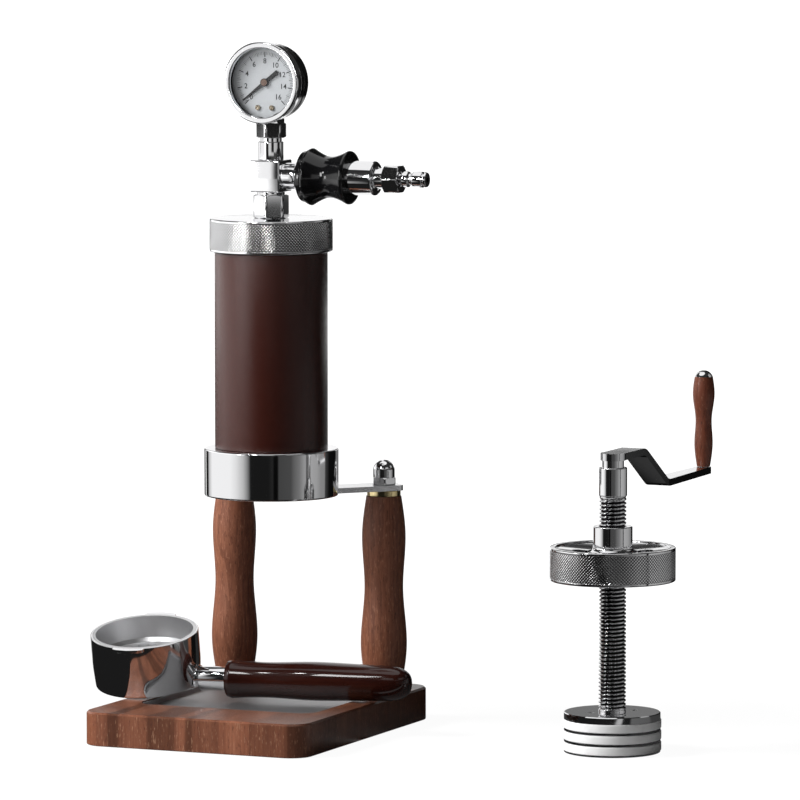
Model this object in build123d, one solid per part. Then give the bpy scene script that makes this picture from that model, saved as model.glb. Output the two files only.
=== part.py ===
from build123d import *
import math
import os

# A manual espresso maker in two groups. One is the stand: a wooden base with a drip tray, two turned
# posts, a group collar on two arms, a chamber tube with an air head on top, and a portafilter lying
# on the base. The other is a screw press that takes the air head's place; it stands beside the base.
# X runs along the base's front edge, Y to the back, Z up; the origin is the middle of the underside.

# Base board and drip tray.
base_width = 156.0
base_depth = 206.0
base_height = 21.5
base_corner = 14.5
base_edge = 1.2
tray_width = 123.0
tray_depth = 114.0
tray_middle_y = 3.0
tray_height = 4.5
tray_wall = 1.2
tray_corner = 12.0
tray_gap = 0.3
tray_drop = 0.7

# Posts, their tie rods and what the rods hold.
post_side_inset = 24.5
post_back_inset = 23.8
post_height = 125.5
post_foot_r = 11.3
post_low_r = 15.0
post_waist_r = 12.6
post_high_r = 14.2
post_top_r = 11.4
rod_r = 4.0
rod_gap = 0.2
ring_r = 11.0
ring_height = 4.0
nut_flats = 14.6
nut_hex_height = 4.8
nut_dome_r = 7.15
nut_height = 16.2
foot_nut_height = 6.5
washer_r = 8.5
washer_height = 1.5
foot_recess_depth = 10.0

# Arms from the collar to the posts.
arm_width = 22.0
arm_thickness = 3.5
arm_past_post = 10.2
arm_corner = 4.0
arm_seat = 37.8

# Group collar with its bayonet mouth.
column_y = 21.0
collar_r = 43.35
collar_height = 30.8
collar_edge = 1.2
mouth_r = 35.4
ledge_height = 6.0
lug_groove_r = 39.0
lug_groove_height = 2.6
gasket_seat_height = 7.4
gasket_squeeze = 0.2
gasket_bore_r = 28.5

# Chamber tube, its leather sleeve and the water spreader.
tube_r = 33.75
tube_bore_r = 31.3
tube_length = 155.0
tube_lip = 1.5
sleeve_r = 36.4
sleeve_gap = 0.4
screen_thickness = 1.2
screen_hole_r = 1.1
screen_rings = 4
screen_pitch = 6.2

# Knurled cap of the air head and the fittings on it.
cap_r = 39.7
cap_height = 21.3
cap_roof = 6.0
cap_edge = 1.0
thread_gap = 0.25
head_gasket_height = 2.0
head_gasket_bore_r = 29.0
gas_bore_r = 2.5
adapter_flats = 20.5
adapter_turn = 35.5
adapter_height = 15.2
adapter_stub_r = 8.0
shoulder_r = 9.0
shoulder_height = 1.7
tee_side = 20.5
tee_edge = 0.6
riser_r = 8.2
riser_height = 11.8
riser_neck_r = 7.2
riser_neck_height = 2.4
gauge_nut_flats = 17.4
gauge_nut_turn = 32.0
gauge_nut_height = 9.6

# Pressure gauge, measured forward from the column's axis and out from the dial's centre.
gauge_case_r = 24.6
gauge_case_wall = 1.2
gauge_back = 5.5
gauge_front = 15.7
bezel_r = 26.2
bezel_depth = 6.2
bezel_lip = 1.6
window_r = 22.0
glass_thickness = 1.8
dial_thickness = 0.6
dial_drop = 5.0
dial_gap = 0.3
dial_screw_x = 4.9
dial_screw_y = 16.2
dial_screw_r = 1.7
needle_length = 19.0
needle_tail = 11.5
needle_hub_r = 2.6
needle_shaft_r = 0.8
needle_thickness = 0.8
needle_rest_angle = 217.5
socket_stem_r = 4.0
socket_square = 14.0
socket_rise = 9.0
bourdon_r = 17.0
bourdon_width = 6.0
bourdon_thickness = 2.4
bourdon_sweep = 250.0
movement_r = 8.0

# Slide valve on the tee's right side, and the plug for the gas hose.
nipple_r = 8.6
nipple_length = 9.2
valve_collar_r = 7.4
valve_collar_length = 4.2
barrel_r = 11.0
barrel_end_x = 74.2
valve_sleeve_x = 23.7
valve_sleeve_length = 32.8
spool_end_r = 16.7
spool_first_r = 18.35
spool_waist_r = 13.3
spool_last_r = 17.25
slide_gap = 0.08
seal_r = 1.1
outlet_neck_r = 6.7
outlet_neck_length = 6.6
outlet_hex_flats = 17.1
outlet_hex_turn = 30.0
outlet_hex_length = 10.7
plug_r = 5.1
plug_length = 17.9
plug_groove_r = 3.9
plug_head_length = 5.0
plug_ramp = 1.2
plug_groove_width = 1.4
plug_tip_length = 2.8
plug_bore_r = 1.8

# Portafilter: its handle's axis runs through the cup's axis, which stands square to it.
filter_x = -75.4
filter_y = -6.9
filter_turn = 7.4
filter_roll = 11.7
filter_lift = 0.3
cup_r = 35.0
cup_foot_r = 33.9
cup_height = 34.5
cup_wall = 2.2
cup_below_axis = 3.7
cup_floor_r = 26.0
cup_floor = 2.0
cup_floor_bevel = 3.0
cup_foot_edge = 1.5
cup_rim_edge = 0.5
lug_width = 21.0
lug_reach = 3.7
lug_thickness = 2.0
lug_play = 0.8
basket_r = 32.4
basket_wall = 0.8
basket_depth = 17.8
basket_rim = 1.2
basket_rim_r = 33.6
basket_gap = 0.15
basket_hole_r = 0.8
basket_rings = 4
basket_pitch = 5.6
neck_r = 8.0
neck_flare_r = 8.8
neck_root_length = 1.5
neck_root_depth = 6.0
neck_end = 54.7
handle_length = 122.5
handle_lip_r = 11.6
handle_start_r = 12.5
handle_dip_r = 11.5
handle_r = 12.5
handle_rest_r = 11.9
handle_tail_r = 11.4
handle_contact = 140.0
stud_r = 4.0
stud_length = 42.0

# Screw press.
press_x = 242.0
press_y = 8.2
piston_r = 30.5
piston_core_r = 24.5
piston_land = 1.7
piston_foot = 1.3
piston_seal_r = 31.05
piston_seal_height = 5.4
piston_plate_height = 4.4
plate_screw_r = 2.6
plate_screw_circle = 15.0
plate_screw_count = 4
screw_r = 8.6
screw_length = 137.0
thrust_r = 11.4
thrust_height = 6.0
turn_gap = 0.08
shank_r = 9.0
shank_length = 17.9
spigot_neck_r = 7.0
spigot_neck_height = 4.5
spigot_r = 5.0
press_cap_low = 108.7
press_rim = 2.6
press_dish = 3.2
boss_r = 12.5
boss_height = 13.1
vent_r = 6.6
vent_circle = 19.0
vent_angle = 23.0

# Crank of the press.
crank_hub_r = 8.0
crank_width = 15.0
crank_end_width = 9.0
crank_thickness = 4.5
crank_flat = 38.0
crank_slope_run = 40.0
crank_drop = 23.9
grip_reach = 158.5
crank_past_grip = 3.8
crank_bend_r = 12.0
crank_end_edge = 2.0
grip_height = 58.5
grip_bore_r = 3.2
grip_pin_r = 3.1
grip_foot_r = 4.3
grip_low_r = 6.0
grip_waist_r = 5.3
grip_high_r = 7.1
grip_top_r = 5.9
grip_play = 0.3
grip_counterbore = 6.0
pin_head_height = 2.3
dome_height = 4.2

# Heights and places that follow.
post_x = base_width / 2 - post_side_inset
post_y = base_depth / 2 - post_back_inset
post_top = base_height + post_height
arm_low = post_top + ring_height
arm_top = arm_low + arm_thickness
arm_reach = math.hypot(post_x, post_y - column_y)
arm_angle = math.degrees(math.atan2(post_y - column_y, post_x))
collar_low = arm_low
collar_top = collar_low + collar_height
groove_low = collar_low + ledge_height
groove_top = groove_low + lug_groove_height
tube_low = groove_top + gasket_seat_height
gasket_low = groove_low + lug_thickness - gasket_squeeze
tube_top = tube_low + tube_length
cap_low = tube_top + head_gasket_height + cap_roof - cap_height
cap_top = cap_low + cap_height
shoulder_low = cap_top + adapter_height
tee_low = shoulder_low + shoulder_height
tee_middle = tee_low + tee_side / 2
tee_top = tee_low + tee_side
riser_neck_low = tee_top + riser_height
gauge_nut_low = riser_neck_low + riser_neck_height
gauge_nut_top = gauge_nut_low + gauge_nut_height
gauge_z = gauge_nut_top + bezel_r
dial_face = gauge_front - dial_drop - bezel_lip
nipple_x = tee_side / 2
barrel_x = nipple_x + nipple_length + valve_collar_length
outlet_hex_x = barrel_end_x + outlet_neck_length
plug_x = outlet_hex_x + outlet_hex_length
plate_low = piston_foot + 3 * piston_seal_height + 2 * piston_land + turn_gap
plate_top = plate_low + piston_plate_height
thrust_top = plate_low - turn_gap
shank_low = plate_top + screw_length
shank_top = shank_low + shank_length
crank_low = shank_top + spigot_neck_height
crank_top = crank_low + crank_thickness
grip_low = crank_top - crank_drop


# A closed outline of (radius, height) points turned round the Z axis.
def turned(points):
    return revolve(Plane.XZ * make_face(Polyline(*points, close=True)), Axis.Z)


# A turned bar: straight edges to a smooth outer line, from bottom to top, with an optional bore.
def turned_bar(line, bore_r=0.0):
    low = line[0][1]
    high = line[-1][1]
    outline = Curve() + [
        Polyline((0, high), (0, low), line[0]),
        Spline(*line),
        Line(line[-1], (0, high)),
    ]
    solid = revolve(Plane.XZ * make_face(outline), Axis.Z)
    if bore_r > 0:
        solid -= Pos(0, 0, (low + high) / 2) * Cylinder(bore_r, 2 * (high - low))
    return solid


# The circles with the largest radius on a turned solid: its outer rims.
def outer_rims(solid):
    return solid.edges().filter_by(GeomType.CIRCLE).group_by(SortBy.RADIUS)[-1]


def disc(r, low, high):
    return Pos(0, 0, (low + high) / 2) * Cylinder(r, high - low)


def tube(r, bore_r, low, high):
    return disc(r, low, high) - disc(bore_r, low, high)


def hexagon(flats, low, high):
    corner_r = flats / math.sqrt(3)
    return Pos(0, 0, low) * extrude(RegularPolygon(corner_r, 6), high - low)


# Hex bar with its corners turned off at 30 degrees at both ends, as on a nut.
def nut_blank(flats, low, high):
    corner_r = flats / math.sqrt(3)
    bevel = (corner_r - flats / 2) * math.tan(math.radians(30))
    turned_off = turned([
        (0, low), (flats / 2, low), (corner_r, low + bevel),
        (corner_r, high - bevel), (flats / 2, high), (0, high),
    ])
    return hexagon(flats, low, high) & turned_off


def save(name, shape):
    shape.label = name
    export_step(shape, f"parts/{name}.step")


def at_column(shape):
    return Pos(0, column_y, 0) * shape


def at_press(shape):
    return Pos(press_x, press_y, 0) * shape


def at_each_post(shape):
    return Compound(children=[Pos(x, post_y, 0) * shape for x in (-post_x, post_x)])


# ---- stand ----

def rounded_slab(width, depth, corner, low, high):
    return Pos(0, 0, low) * extrude(RectangleRounded(width, depth, corner), high - low)


tray_rim_top = base_height - tray_drop
tray_low = tray_rim_top - tray_height


def base_board():
    board = rounded_slab(base_width, base_depth, base_corner, 0, base_height)
    board = chamfer(board.faces().sort_by(Axis.Z)[-1].edges(), base_edge)
    board = chamfer(board.faces().sort_by(Axis.Z)[0].edges(), base_edge / 2)
    board -= Pos(0, tray_middle_y, 0) * rounded_slab(
        tray_width + 2 * tray_gap, tray_depth + 2 * tray_gap, tray_corner + tray_gap,
        tray_low, base_height + 1)
    for x in (-post_x, post_x):
        board -= Pos(x, post_y, 0) * disc(rod_r + rod_gap, -1, base_height + 1)
        board -= Pos(x, post_y, 0) * disc(washer_r + rod_gap, -1, foot_recess_depth)
    return board


def drip_tray():
    pan = rounded_slab(tray_width, tray_depth, tray_corner, tray_low, tray_rim_top)
    pan -= rounded_slab(tray_width - 2 * tray_wall, tray_depth - 2 * tray_wall,
                        tray_corner - tray_wall, tray_low + tray_wall, tray_rim_top + 1)
    return Pos(0, tray_middle_y, 0) * pan


# Turned post: foot, low bulge, waist, high bulge and neck, bored for the tie rod.
def post():
    line = [
        (post_foot_r, base_height),
        (post_low_r, base_height + 0.22 * post_height),
        (post_waist_r, base_height + 0.52 * post_height),
        (post_high_r, base_height + 0.80 * post_height),
        (post_top_r, post_top),
    ]
    return turned_bar(line, rod_r + rod_gap)


washer_top = foot_recess_depth
washer_low = washer_top - washer_height
foot_nut_low = washer_low - foot_nut_height
dome_middle = arm_top + nut_height - nut_dome_r


def tie_rod():
    return disc(rod_r, foot_nut_low - rod_gap, dome_middle)


def post_ring():
    ring = tube(ring_r, rod_r + rod_gap, post_top, arm_low)
    return chamfer(outer_rims(ring), ring_height / 10)


def foot_washer():
    return tube(washer_r, rod_r + rod_gap, washer_low, washer_top)


def foot_nut():
    nut = nut_blank(nut_flats, foot_nut_low, washer_low)
    return nut - disc(rod_r + rod_gap / 2, foot_nut_low - 1, washer_low + 1)


# Domed cap nut: a short hex, a cylinder a little wider than the flats and a half ball.
def acorn_nut():
    nut = nut_blank(nut_flats, arm_top, arm_top + nut_hex_height)
    nut += disc(nut_dome_r, arm_top + nut_hex_height / 2, dome_middle)
    nut += Pos(0, 0, dome_middle) * Sphere(nut_dome_r)
    return nut - disc(rod_r + rod_gap / 2, arm_top - 1, dome_middle + rod_gap)


def arm(angle):
    reach = arm_reach + arm_past_post
    bar = Pos((arm_seat + reach) / 2, 0, arm_low + arm_thickness / 2) * Box(
        reach - arm_seat, arm_width, arm_thickness)
    bar = fillet(bar.edges().filter_by(Axis.Z).group_by(Axis.X)[-1], arm_corner)
    bar -= Pos(arm_reach, 0, 0) * disc(rod_r + rod_gap, arm_low - 1, arm_top + 1)
    return at_column(Rot(0, 0, angle) * bar)


# Collar: bayonet ledge, lug groove, gasket seat and the tube's seat, with two ways in for the lugs
# and a slot for each arm.
def group_collar():
    e = collar_edge
    collar = turned([
        (mouth_r, collar_low), (collar_r - e, collar_low), (collar_r, collar_low + e),
        (collar_r, collar_top - e), (collar_r - e, collar_top), (tube_r, collar_top),
        (tube_r, tube_low), (mouth_r, tube_low), (mouth_r, groove_top),
        (lug_groove_r, groove_top), (lug_groove_r, groove_low), (mouth_r, groove_low),
    ])
    way_in = lug_width + 2 * lug_play
    key = Pos(0, 0, collar_low + ledge_height / 2) * Box(3 * lug_groove_r, way_in, ledge_height + 0.2)
    collar -= key & disc(lug_groove_r, collar_low - 1, groove_low + 1)
    collar = at_column(collar)
    return collar - arm(arm_angle) - arm(180 - arm_angle)


def group_gasket():
    return at_column(tube(mouth_r, gasket_bore_r, gasket_low, tube_low))


def chamber_tube():
    return at_column(turned([
        (gasket_bore_r, tube_low), (tube_r, tube_low), (tube_r, tube_top), (tube_bore_r, tube_top),
        (tube_bore_r, tube_low + tube_lip), (gasket_bore_r, tube_low + tube_lip),
    ]))


def chamber_sleeve():
    return at_column(tube(sleeve_r, tube_r, collar_top, cap_low - sleeve_gap))


# Round plate with rings of holes, six more on each ring than on the one inside it.
def perforate(plate, hole_r, rings, pitch, low, high):
    holes = [disc(hole_r, low - 1, high + 1)]
    for ring in range(1, rings + 1):
        count = 6 * ring
        for k in range(count):
            turn = 360 * k / count
            holes.append(Rot(0, 0, turn) * Pos(ring * pitch, 0, 0) * disc(hole_r, low - 1, high + 1))
    return plate - holes


def shower_screen():
    low = tube_low + tube_lip
    high = low + screen_thickness
    plate = disc(tube_bore_r - thread_gap, low, high)
    return at_column(perforate(plate, screen_hole_r, screen_rings, screen_pitch, low, high))


# ---- air head ----

def head_gasket():
    return at_column(tube(tube_r, head_gasket_bore_r, tube_top, tube_top + head_gasket_height))


# A cap with a skirt round the tube's end and a plain chamfered rim above and below the knurl.
def cap_outline(low, high, roof_low, bore_r):
    e = cap_edge
    return [
        (tube_r + thread_gap, low), (cap_r - e, low), (cap_r, low + e), (cap_r, high - e),
        (cap_r - e, high), (bore_r, high), (bore_r, roof_low), (tube_r + thread_gap, roof_low),
    ]


def head_cap():
    return at_column(turned(cap_outline(cap_low, cap_top, cap_top - cap_roof, adapter_stub_r)))


def inlet_adapter():
    adapter = nut_blank(adapter_flats, cap_top, shoulder_low)
    adapter += disc(adapter_stub_r, cap_top - cap_roof, cap_top)
    adapter += disc(shoulder_r, shoulder_low, tee_low)
    adapter -= disc(gas_bore_r, cap_top - cap_roof - 1, tee_low + 1)
    return at_column(Rot(0, 0, adapter_turn) * adapter)


def tee_block():
    block = Pos(0, 0, tee_middle) * Box(tee_side, tee_side, tee_side)
    block = chamfer(block.edges(), tee_edge)
    block -= disc(gas_bore_r, tee_low - 1, tee_top + 1)
    block -= Pos(0, 0, tee_middle) * Rot(0, 90, 0) * disc(gas_bore_r, 0, tee_side)
    return at_column(block)


def gauge_riser():
    riser = disc(riser_r, tee_top, riser_neck_low)
    riser = chamfer(riser.edges().group_by(Axis.Z)[-1], tee_edge)
    riser += disc(riser_neck_r, riser_neck_low, gauge_nut_low)
    return at_column(riser - disc(gas_bore_r, tee_top - 1, gauge_nut_low + 1))


def gauge_nut():
    nut = nut_blank(gauge_nut_flats, gauge_nut_low, gauge_nut_top)
    nut -= disc(socket_stem_r, gauge_nut_low - 1, gauge_nut_top + 1)
    return at_column(Rot(0, 0, gauge_nut_turn) * nut)


# The gauge is drawn with the dial's centre at the origin and its axis along Z, towards the reader.
def at_gauge(shape):
    return Pos(0, column_y, gauge_z) * Rot(90, 0, 0) * shape


case_front = gauge_front - bezel_lip - glass_thickness - 0.2
case_bore_r = gauge_case_r - gauge_case_wall
stem_length = bezel_r + gauge_nut_height


def gauge_case():
    case = turned([
        (0, -gauge_back), (gauge_case_r - 2, -gauge_back), (gauge_case_r, 2 - gauge_back),
        (gauge_case_r, case_front), (case_bore_r, case_front),
        (case_bore_r, gauge_case_wall - gauge_back), (0, gauge_case_wall - gauge_back),
    ])
    return at_gauge(case - stem_hole())


def stem_hole():
    return Rot(90, 0, 0) * disc(socket_stem_r + dial_gap / 2, case_bore_r - 2, bezel_r)


def gauge_bezel():
    glass_top = gauge_front - bezel_lip
    return at_gauge(turned([
        (gauge_case_r, gauge_front - bezel_depth), (bezel_r - 0.6, gauge_front - bezel_depth),
        (bezel_r, gauge_front - bezel_depth + 0.6), (bezel_r, gauge_front - 2.0),
        (bezel_r - 0.8, gauge_front - 0.5), (bezel_r - 2.0, gauge_front),
        (window_r + 0.6, gauge_front - 0.3), (window_r, glass_top), (gauge_case_r, glass_top),
    ]))


def gauge_glass():
    glass_top = gauge_front - bezel_lip
    return at_gauge(disc(gauge_case_r - dial_gap, glass_top - glass_thickness, glass_top))


def gauge_dial():
    dial = disc(case_bore_r - dial_gap, dial_face - dial_thickness, dial_face)
    dial -= disc(needle_shaft_r + dial_gap, dial_face - 2, dial_face + 2)
    for x in (-dial_screw_x, dial_screw_x):
        dial -= Pos(x, -dial_screw_y, 0) * disc(dial_screw_r / 2 + 0.05, dial_face - 2, dial_face + 2)
    return at_gauge(dial)


def dial_screws():
    screws = []
    for x in (-dial_screw_x, dial_screw_x):
        head = disc(dial_screw_r, dial_face, dial_face + dial_screw_r / 2)
        head -= Pos(0, 0, dial_face + dial_screw_r / 2) * Box(3 * dial_screw_r, 0.5, 0.6)
        thread = disc(dial_screw_r / 2, dial_face - 3.5, dial_face)
        screws.append(Pos(x, -dial_screw_y, 0) * (head + thread))
    return at_gauge(Compound(children=screws))


movement_high = dial_face - dial_thickness - 0.2
movement_low = gauge_case_wall - gauge_back + 1.0


# Brass block inside the case, at the foot of the dial.
def socket_block():
    middle_y = -case_bore_r + socket_rise / 2 + 1.5
    return Pos(0, middle_y, (movement_high + movement_low) / 2) * Box(
        socket_square, socket_rise, movement_high - movement_low)


# Socket: the block carries tube, movement and dial; a stem runs through the case's wall into the
# nut, and a square shoulder under the case sits on the nut.
def gauge_socket():
    socket = socket_block()
    socket += Rot(90, 0, 0) * disc(socket_stem_r, case_bore_r - socket_rise, stem_length)
    shoulder_middle = (bezel_r + gauge_case_r - 3) / 2
    shoulder = Pos(0, -shoulder_middle, 0) * Box(
        socket_square, bezel_r - gauge_case_r + 3, 2 * gauge_back)
    socket += shoulder - disc(gauge_case_r, -2 * gauge_back, case_front)
    for x in (-dial_screw_x, dial_screw_x):
        socket -= Pos(x, -dial_screw_y, 0) * disc(dial_screw_r / 2 + 0.05, dial_face - 5, dial_face)
    bore = disc(gas_bore_r / 2, case_bore_r - socket_rise + 3, stem_length + 1)
    return at_gauge(socket - Rot(90, 0, 0) * bore)


# Flattened tube bent into an open ring, from the socket's block clockwise to the quadrant's link.
def bourdon_tube():
    section = Plane.XZ * Pos(bourdon_r, 0) * Rectangle(bourdon_thickness, bourdon_width)
    bent = revolve(section, Axis.Z, bourdon_sweep)
    start = -90 + math.degrees(socket_square / 2 / bourdon_r)
    middle = (movement_high + movement_low) / 2
    return at_gauge(Pos(0, 0, middle) * Rot(0, 0, start) * bent - socket_block())


# Two plates with a toothed quadrant between them, on a foot screwed to the socket's block.
def gauge_movement():
    plates = disc(movement_r, movement_high - 1.2, movement_high)
    plates += disc(movement_r, movement_low, movement_low + 1.2)
    for turn in (30, 150, 270):
        pillar = Pos(movement_r - 1.6, 0, 0) * disc(1.2, movement_low, movement_high)
        plates += Rot(0, 0, turn) * pillar
    foot_end = -case_bore_r + socket_rise + 1.5
    foot = Pos(0, foot_end / 2, movement_high - 0.6) * Box(movement_r, -foot_end, 1.2)
    foot += Pos(0, foot_end / 2, movement_low + 0.6) * Box(movement_r, -foot_end, 1.2)
    plates += foot
    return at_gauge(plates - disc(needle_shaft_r + 0.05, movement_low - 1, movement_high + 1))


def gauge_needle():
    low = dial_face + 0.5
    high = low + needle_thickness
    blade = make_face(Polyline(
        (-needle_tail, 1.3), (0, 1.1), (needle_length, 0.25), (needle_length, -0.25), (0, -1.1),
        (-needle_tail, -1.3), close=True))
    needle = Pos(0, 0, low) * extrude(blade, high - low)
    needle += disc(needle_hub_r, low, high + 0.4)
    needle += disc(needle_shaft_r, movement_low, high)
    return at_gauge(Rot(0, 0, needle_rest_angle) * needle)


# ---- slide valve, drawn along Z and laid over to +X ----

def at_outlet(shape):
    return Pos(0, column_y, tee_middle) * Rot(0, 90, 0) * shape


def valve_nipple():
    collar_x = nipple_x + nipple_length
    nipple = disc(nipple_r, nipple_x, collar_x)
    nipple += disc(valve_collar_r, collar_x, barrel_x)
    return at_outlet(nipple - disc(gas_bore_r, nipple_x - 1, barrel_x + 1))


# Barrel with its O-ring grooves under the sleeve, and the neck that carries the outlet hex.
def valve_barrel():
    barrel = disc(barrel_r, barrel_x, barrel_end_x)
    barrel = chamfer(barrel.edges().group_by(Axis.Z)[-1], 1.2)
    barrel += disc(outlet_neck_r, barrel_end_x, outlet_hex_x)
    for x in seal_places():
        barrel -= tube(barrel_r + 1, barrel_r - 2 * seal_r, x - seal_r, x + seal_r)
    return at_outlet(barrel - disc(gas_bore_r, barrel_x - 1, outlet_hex_x + 1))


def seal_places():
    return [valve_sleeve_x + valve_sleeve_length * share for share in (0.3, 0.5, 0.7)]


def valve_seals():
    rings = [Pos(0, 0, x) * Torus(barrel_r - seal_r, seal_r * 0.98) for x in seal_places()]
    return at_outlet(Compound(children=rings))


# Hourglass sleeve: two flanges with a smooth waist between them, sliding on the barrel.
def valve_sleeve():
    length = valve_sleeve_length
    bore = barrel_r + slide_gap
    waist = Spline(
        (spool_first_r, 0.17 * length), (spool_waist_r, 0.55 * length), (spool_last_r, 0.95 * length))
    outline = Curve() + [
        Polyline((bore, length), (bore, 0), (spool_end_r, 0), (spool_end_r + 0.6, 0.07 * length),
                 (spool_first_r, 0.17 * length)),
        waist,
        Polyline((spool_last_r, 0.95 * length), (spool_last_r - 1.2, length), (bore, length)),
    ]
    sleeve = revolve(Plane.XZ * make_face(outline), Axis.Z)
    return at_outlet(Pos(0, 0, valve_sleeve_x) * sleeve)


def outlet_hex():
    nut = Rot(0, 0, outlet_hex_turn) * nut_blank(outlet_hex_flats, outlet_hex_x, plug_x)
    return at_outlet(nut - disc(gas_bore_r, outlet_hex_x - 1, plug_x + 1))


# Quick-connect plug: shoulder, locking groove, sealing nose and a chamfered tip.
def hose_plug():
    groove = plug_x + plug_head_length + plug_ramp
    groove_end = groove + plug_groove_width
    end = plug_x + plug_length
    tip = end - plug_tip_length
    return at_outlet(turned([
        (plug_bore_r, plug_x), (plug_groove_r + 0.4, plug_x), (plug_r, plug_x + plug_ramp),
        (plug_r, groove - plug_ramp), (plug_groove_r, groove), (plug_groove_r, groove_end),
        (plug_r, groove_end + plug_ramp), (plug_r, tip), (plug_groove_r, tip + 0.2),
        (plug_groove_r, tip + plug_ramp), (plug_r - 0.3, tip + plug_ramp + 0.2),
        (plug_r - 0.9, end), (plug_bore_r, end),
    ]))


# ---- portafilter, drawn with its handle along X and its cup along Z, then laid on the board ----

roll = math.radians(filter_roll)
cup_axis_height = filter_lift + cup_below_axis * math.cos(roll) + cup_foot_r * math.sin(roll)
handle_axis_height = filter_lift + handle_rest_r
filter_tilt = math.degrees(math.asin((cup_axis_height - handle_axis_height) / handle_contact))
filter_z = base_height + cup_axis_height
cup_low = -cup_below_axis
cup_top = cup_low + cup_height
rim_low = cup_top - basket_rim


def at_filter(shape):
    place = Pos(filter_x, filter_y, filter_z) * Rot(0, 0, filter_turn)
    return place * Rot(0, filter_tilt, 0) * Rot(filter_roll, 0, 0) * shape


def portafilter_cup():
    wall_r = cup_r - cup_wall
    cup = turned([
        (cup_floor_r, cup_low), (cup_foot_r - cup_foot_edge, cup_low), (cup_foot_r, cup_low + cup_foot_edge),
        (cup_r, cup_low + 0.4 * cup_height), (cup_r, cup_top - cup_rim_edge), (cup_r - cup_rim_edge, cup_top),
        (basket_rim_r + basket_gap, cup_top), (basket_rim_r + basket_gap, rim_low - basket_gap),
        (wall_r, rim_low - basket_gap), (wall_r, cup_low + cup_floor + cup_floor_bevel),
        (wall_r - cup_floor_bevel, cup_low + cup_floor), (cup_floor_r, cup_low + cup_floor),
    ])
    lugs = Pos(0, 0, cup_top - lug_thickness / 2) * Box(
        lug_width, 2 * (cup_r + lug_reach), lug_thickness)
    lugs &= tube(cup_r + lug_reach, cup_r - 1, cup_top - lug_thickness, cup_top)
    cup += lugs
    cup += neck_solid() - disc(wall_r, cup_low - cup_height, cup_top)
    return at_filter(cup)


# The short flared root that the neck screws into is one casting with the cup.
def neck_solid():
    root_start = cup_r - neck_root_depth
    root_end = cup_r + neck_root_length
    root = turned([
        (0, root_start), (neck_flare_r, root_start), (neck_flare_r, cup_r), (neck_r, root_end),
        (0, root_end),
    ])
    root = Rot(0, 90, 0) * root
    return root & Pos(0, 0, cup_low + cup_height / 2) * Box(4 * cup_r, 4 * cup_r, cup_height)


def portafilter_neck():
    start = cup_r + neck_root_length
    return at_filter(Rot(0, 90, 0) * tube(neck_r, stud_r + 0.1, start, neck_end))


def handle_stud():
    start = cup_r + neck_root_length
    return at_filter(Rot(0, 90, 0) * disc(stud_r, start, start + stud_length))


# Lacquered handle: a lipped start, a slight dip, the palm swell and a rounded end.
def portafilter_handle():
    start = neck_end
    end = neck_end + handle_length
    line = [
        (handle_start_r, start + 3), (handle_dip_r, start + 0.18 * handle_length),
        (handle_r, start + 0.45 * handle_length), (handle_rest_r, start + 0.7 * handle_length),
        (handle_tail_r, start + 0.85 * handle_length),
        (0.76 * handle_tail_r, start + 0.965 * handle_length), (0.01, end),
    ]
    outline = Curve() + [
        Polyline((0, end), (0, start), (handle_lip_r - 0.8, start), (handle_lip_r, start + 0.8),
                 (handle_start_r, start + 3)),
        Spline(*line, tangents=[(0, 1), (-1, 0)]),
        Line((0.01, end), (0, end)),
    ]
    handle = revolve(Plane.XZ * make_face(outline), Axis.Z)
    handle -= disc(stud_r + 0.1, start - 1, cup_r + neck_root_length + stud_length + 0.5)
    return at_filter(Rot(0, 90, 0) * handle)


def filter_basket():
    floor_z = cup_top - basket_depth
    inner_r = basket_r - basket_wall
    basket = turned([
        (0, floor_z), (basket_r - 2.5, floor_z), (basket_r - 0.6, floor_z + 3), (basket_r, rim_low),
        (basket_rim_r, rim_low), (basket_rim_r, cup_top), (inner_r, cup_top),
        (inner_r - 0.5, floor_z + 3.4), (inner_r - 2.3, floor_z + basket_wall),
        (0, floor_z + basket_wall),
    ])
    return at_filter(perforate(
        basket, basket_hole_r, basket_rings, basket_pitch, floor_z, floor_z + basket_wall))


# ---- screw press ----

# Piston core: lands between the seals, and a pocket under the plate for the screw's thrust disc.
def piston_body():
    pitch = piston_seal_height + piston_land
    points = [(0, 0), (piston_r - 0.5, 0), (piston_r, 0.5), (piston_r, piston_foot)]
    for k in range(3):
        low = piston_foot + k * pitch
        high = low + piston_seal_height
        points += [(piston_core_r, low), (piston_core_r, high)]
        if k < 2:
            points += [(piston_r, high), (piston_r, high + piston_land)]
    points[-1] = (piston_core_r, plate_low)
    pocket_r = thrust_r + turn_gap
    pocket_low = thrust_top - thrust_height - turn_gap
    points += [(pocket_r, plate_low), (pocket_r, pocket_low), (0, pocket_low)]
    return at_press(turned(points))


def piston_seals():
    pitch = piston_seal_height + piston_land
    rings = []
    for k in range(3):
        low = piston_foot + k * pitch
        ring = tube(piston_seal_r, piston_core_r, low, low + piston_seal_height)
        rings.append(fillet(outer_rims(ring), 0.4))
    return at_press(Compound(children=rings))


def at_plate_screws(shape):
    step = 360 / plate_screw_count
    return [Rot(0, 0, 45 + k * step) * Pos(plate_screw_circle, 0, 0) * shape
            for k in range(plate_screw_count)]


def piston_plate():
    plate = disc(piston_r, plate_low, plate_top)
    plate = chamfer(plate.edges().group_by(Axis.Z)[-1], 0.5)
    plate -= disc(screw_r + turn_gap, plate_low - 1, plate_top + 1)
    head = disc(plate_screw_r + 0.05, plate_top - plate_screw_r, plate_top + 1)
    thread = disc(plate_screw_r / 2 + 0.05, plate_low - 1, plate_top)
    return at_press(plate - at_plate_screws(head + thread))


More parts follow.
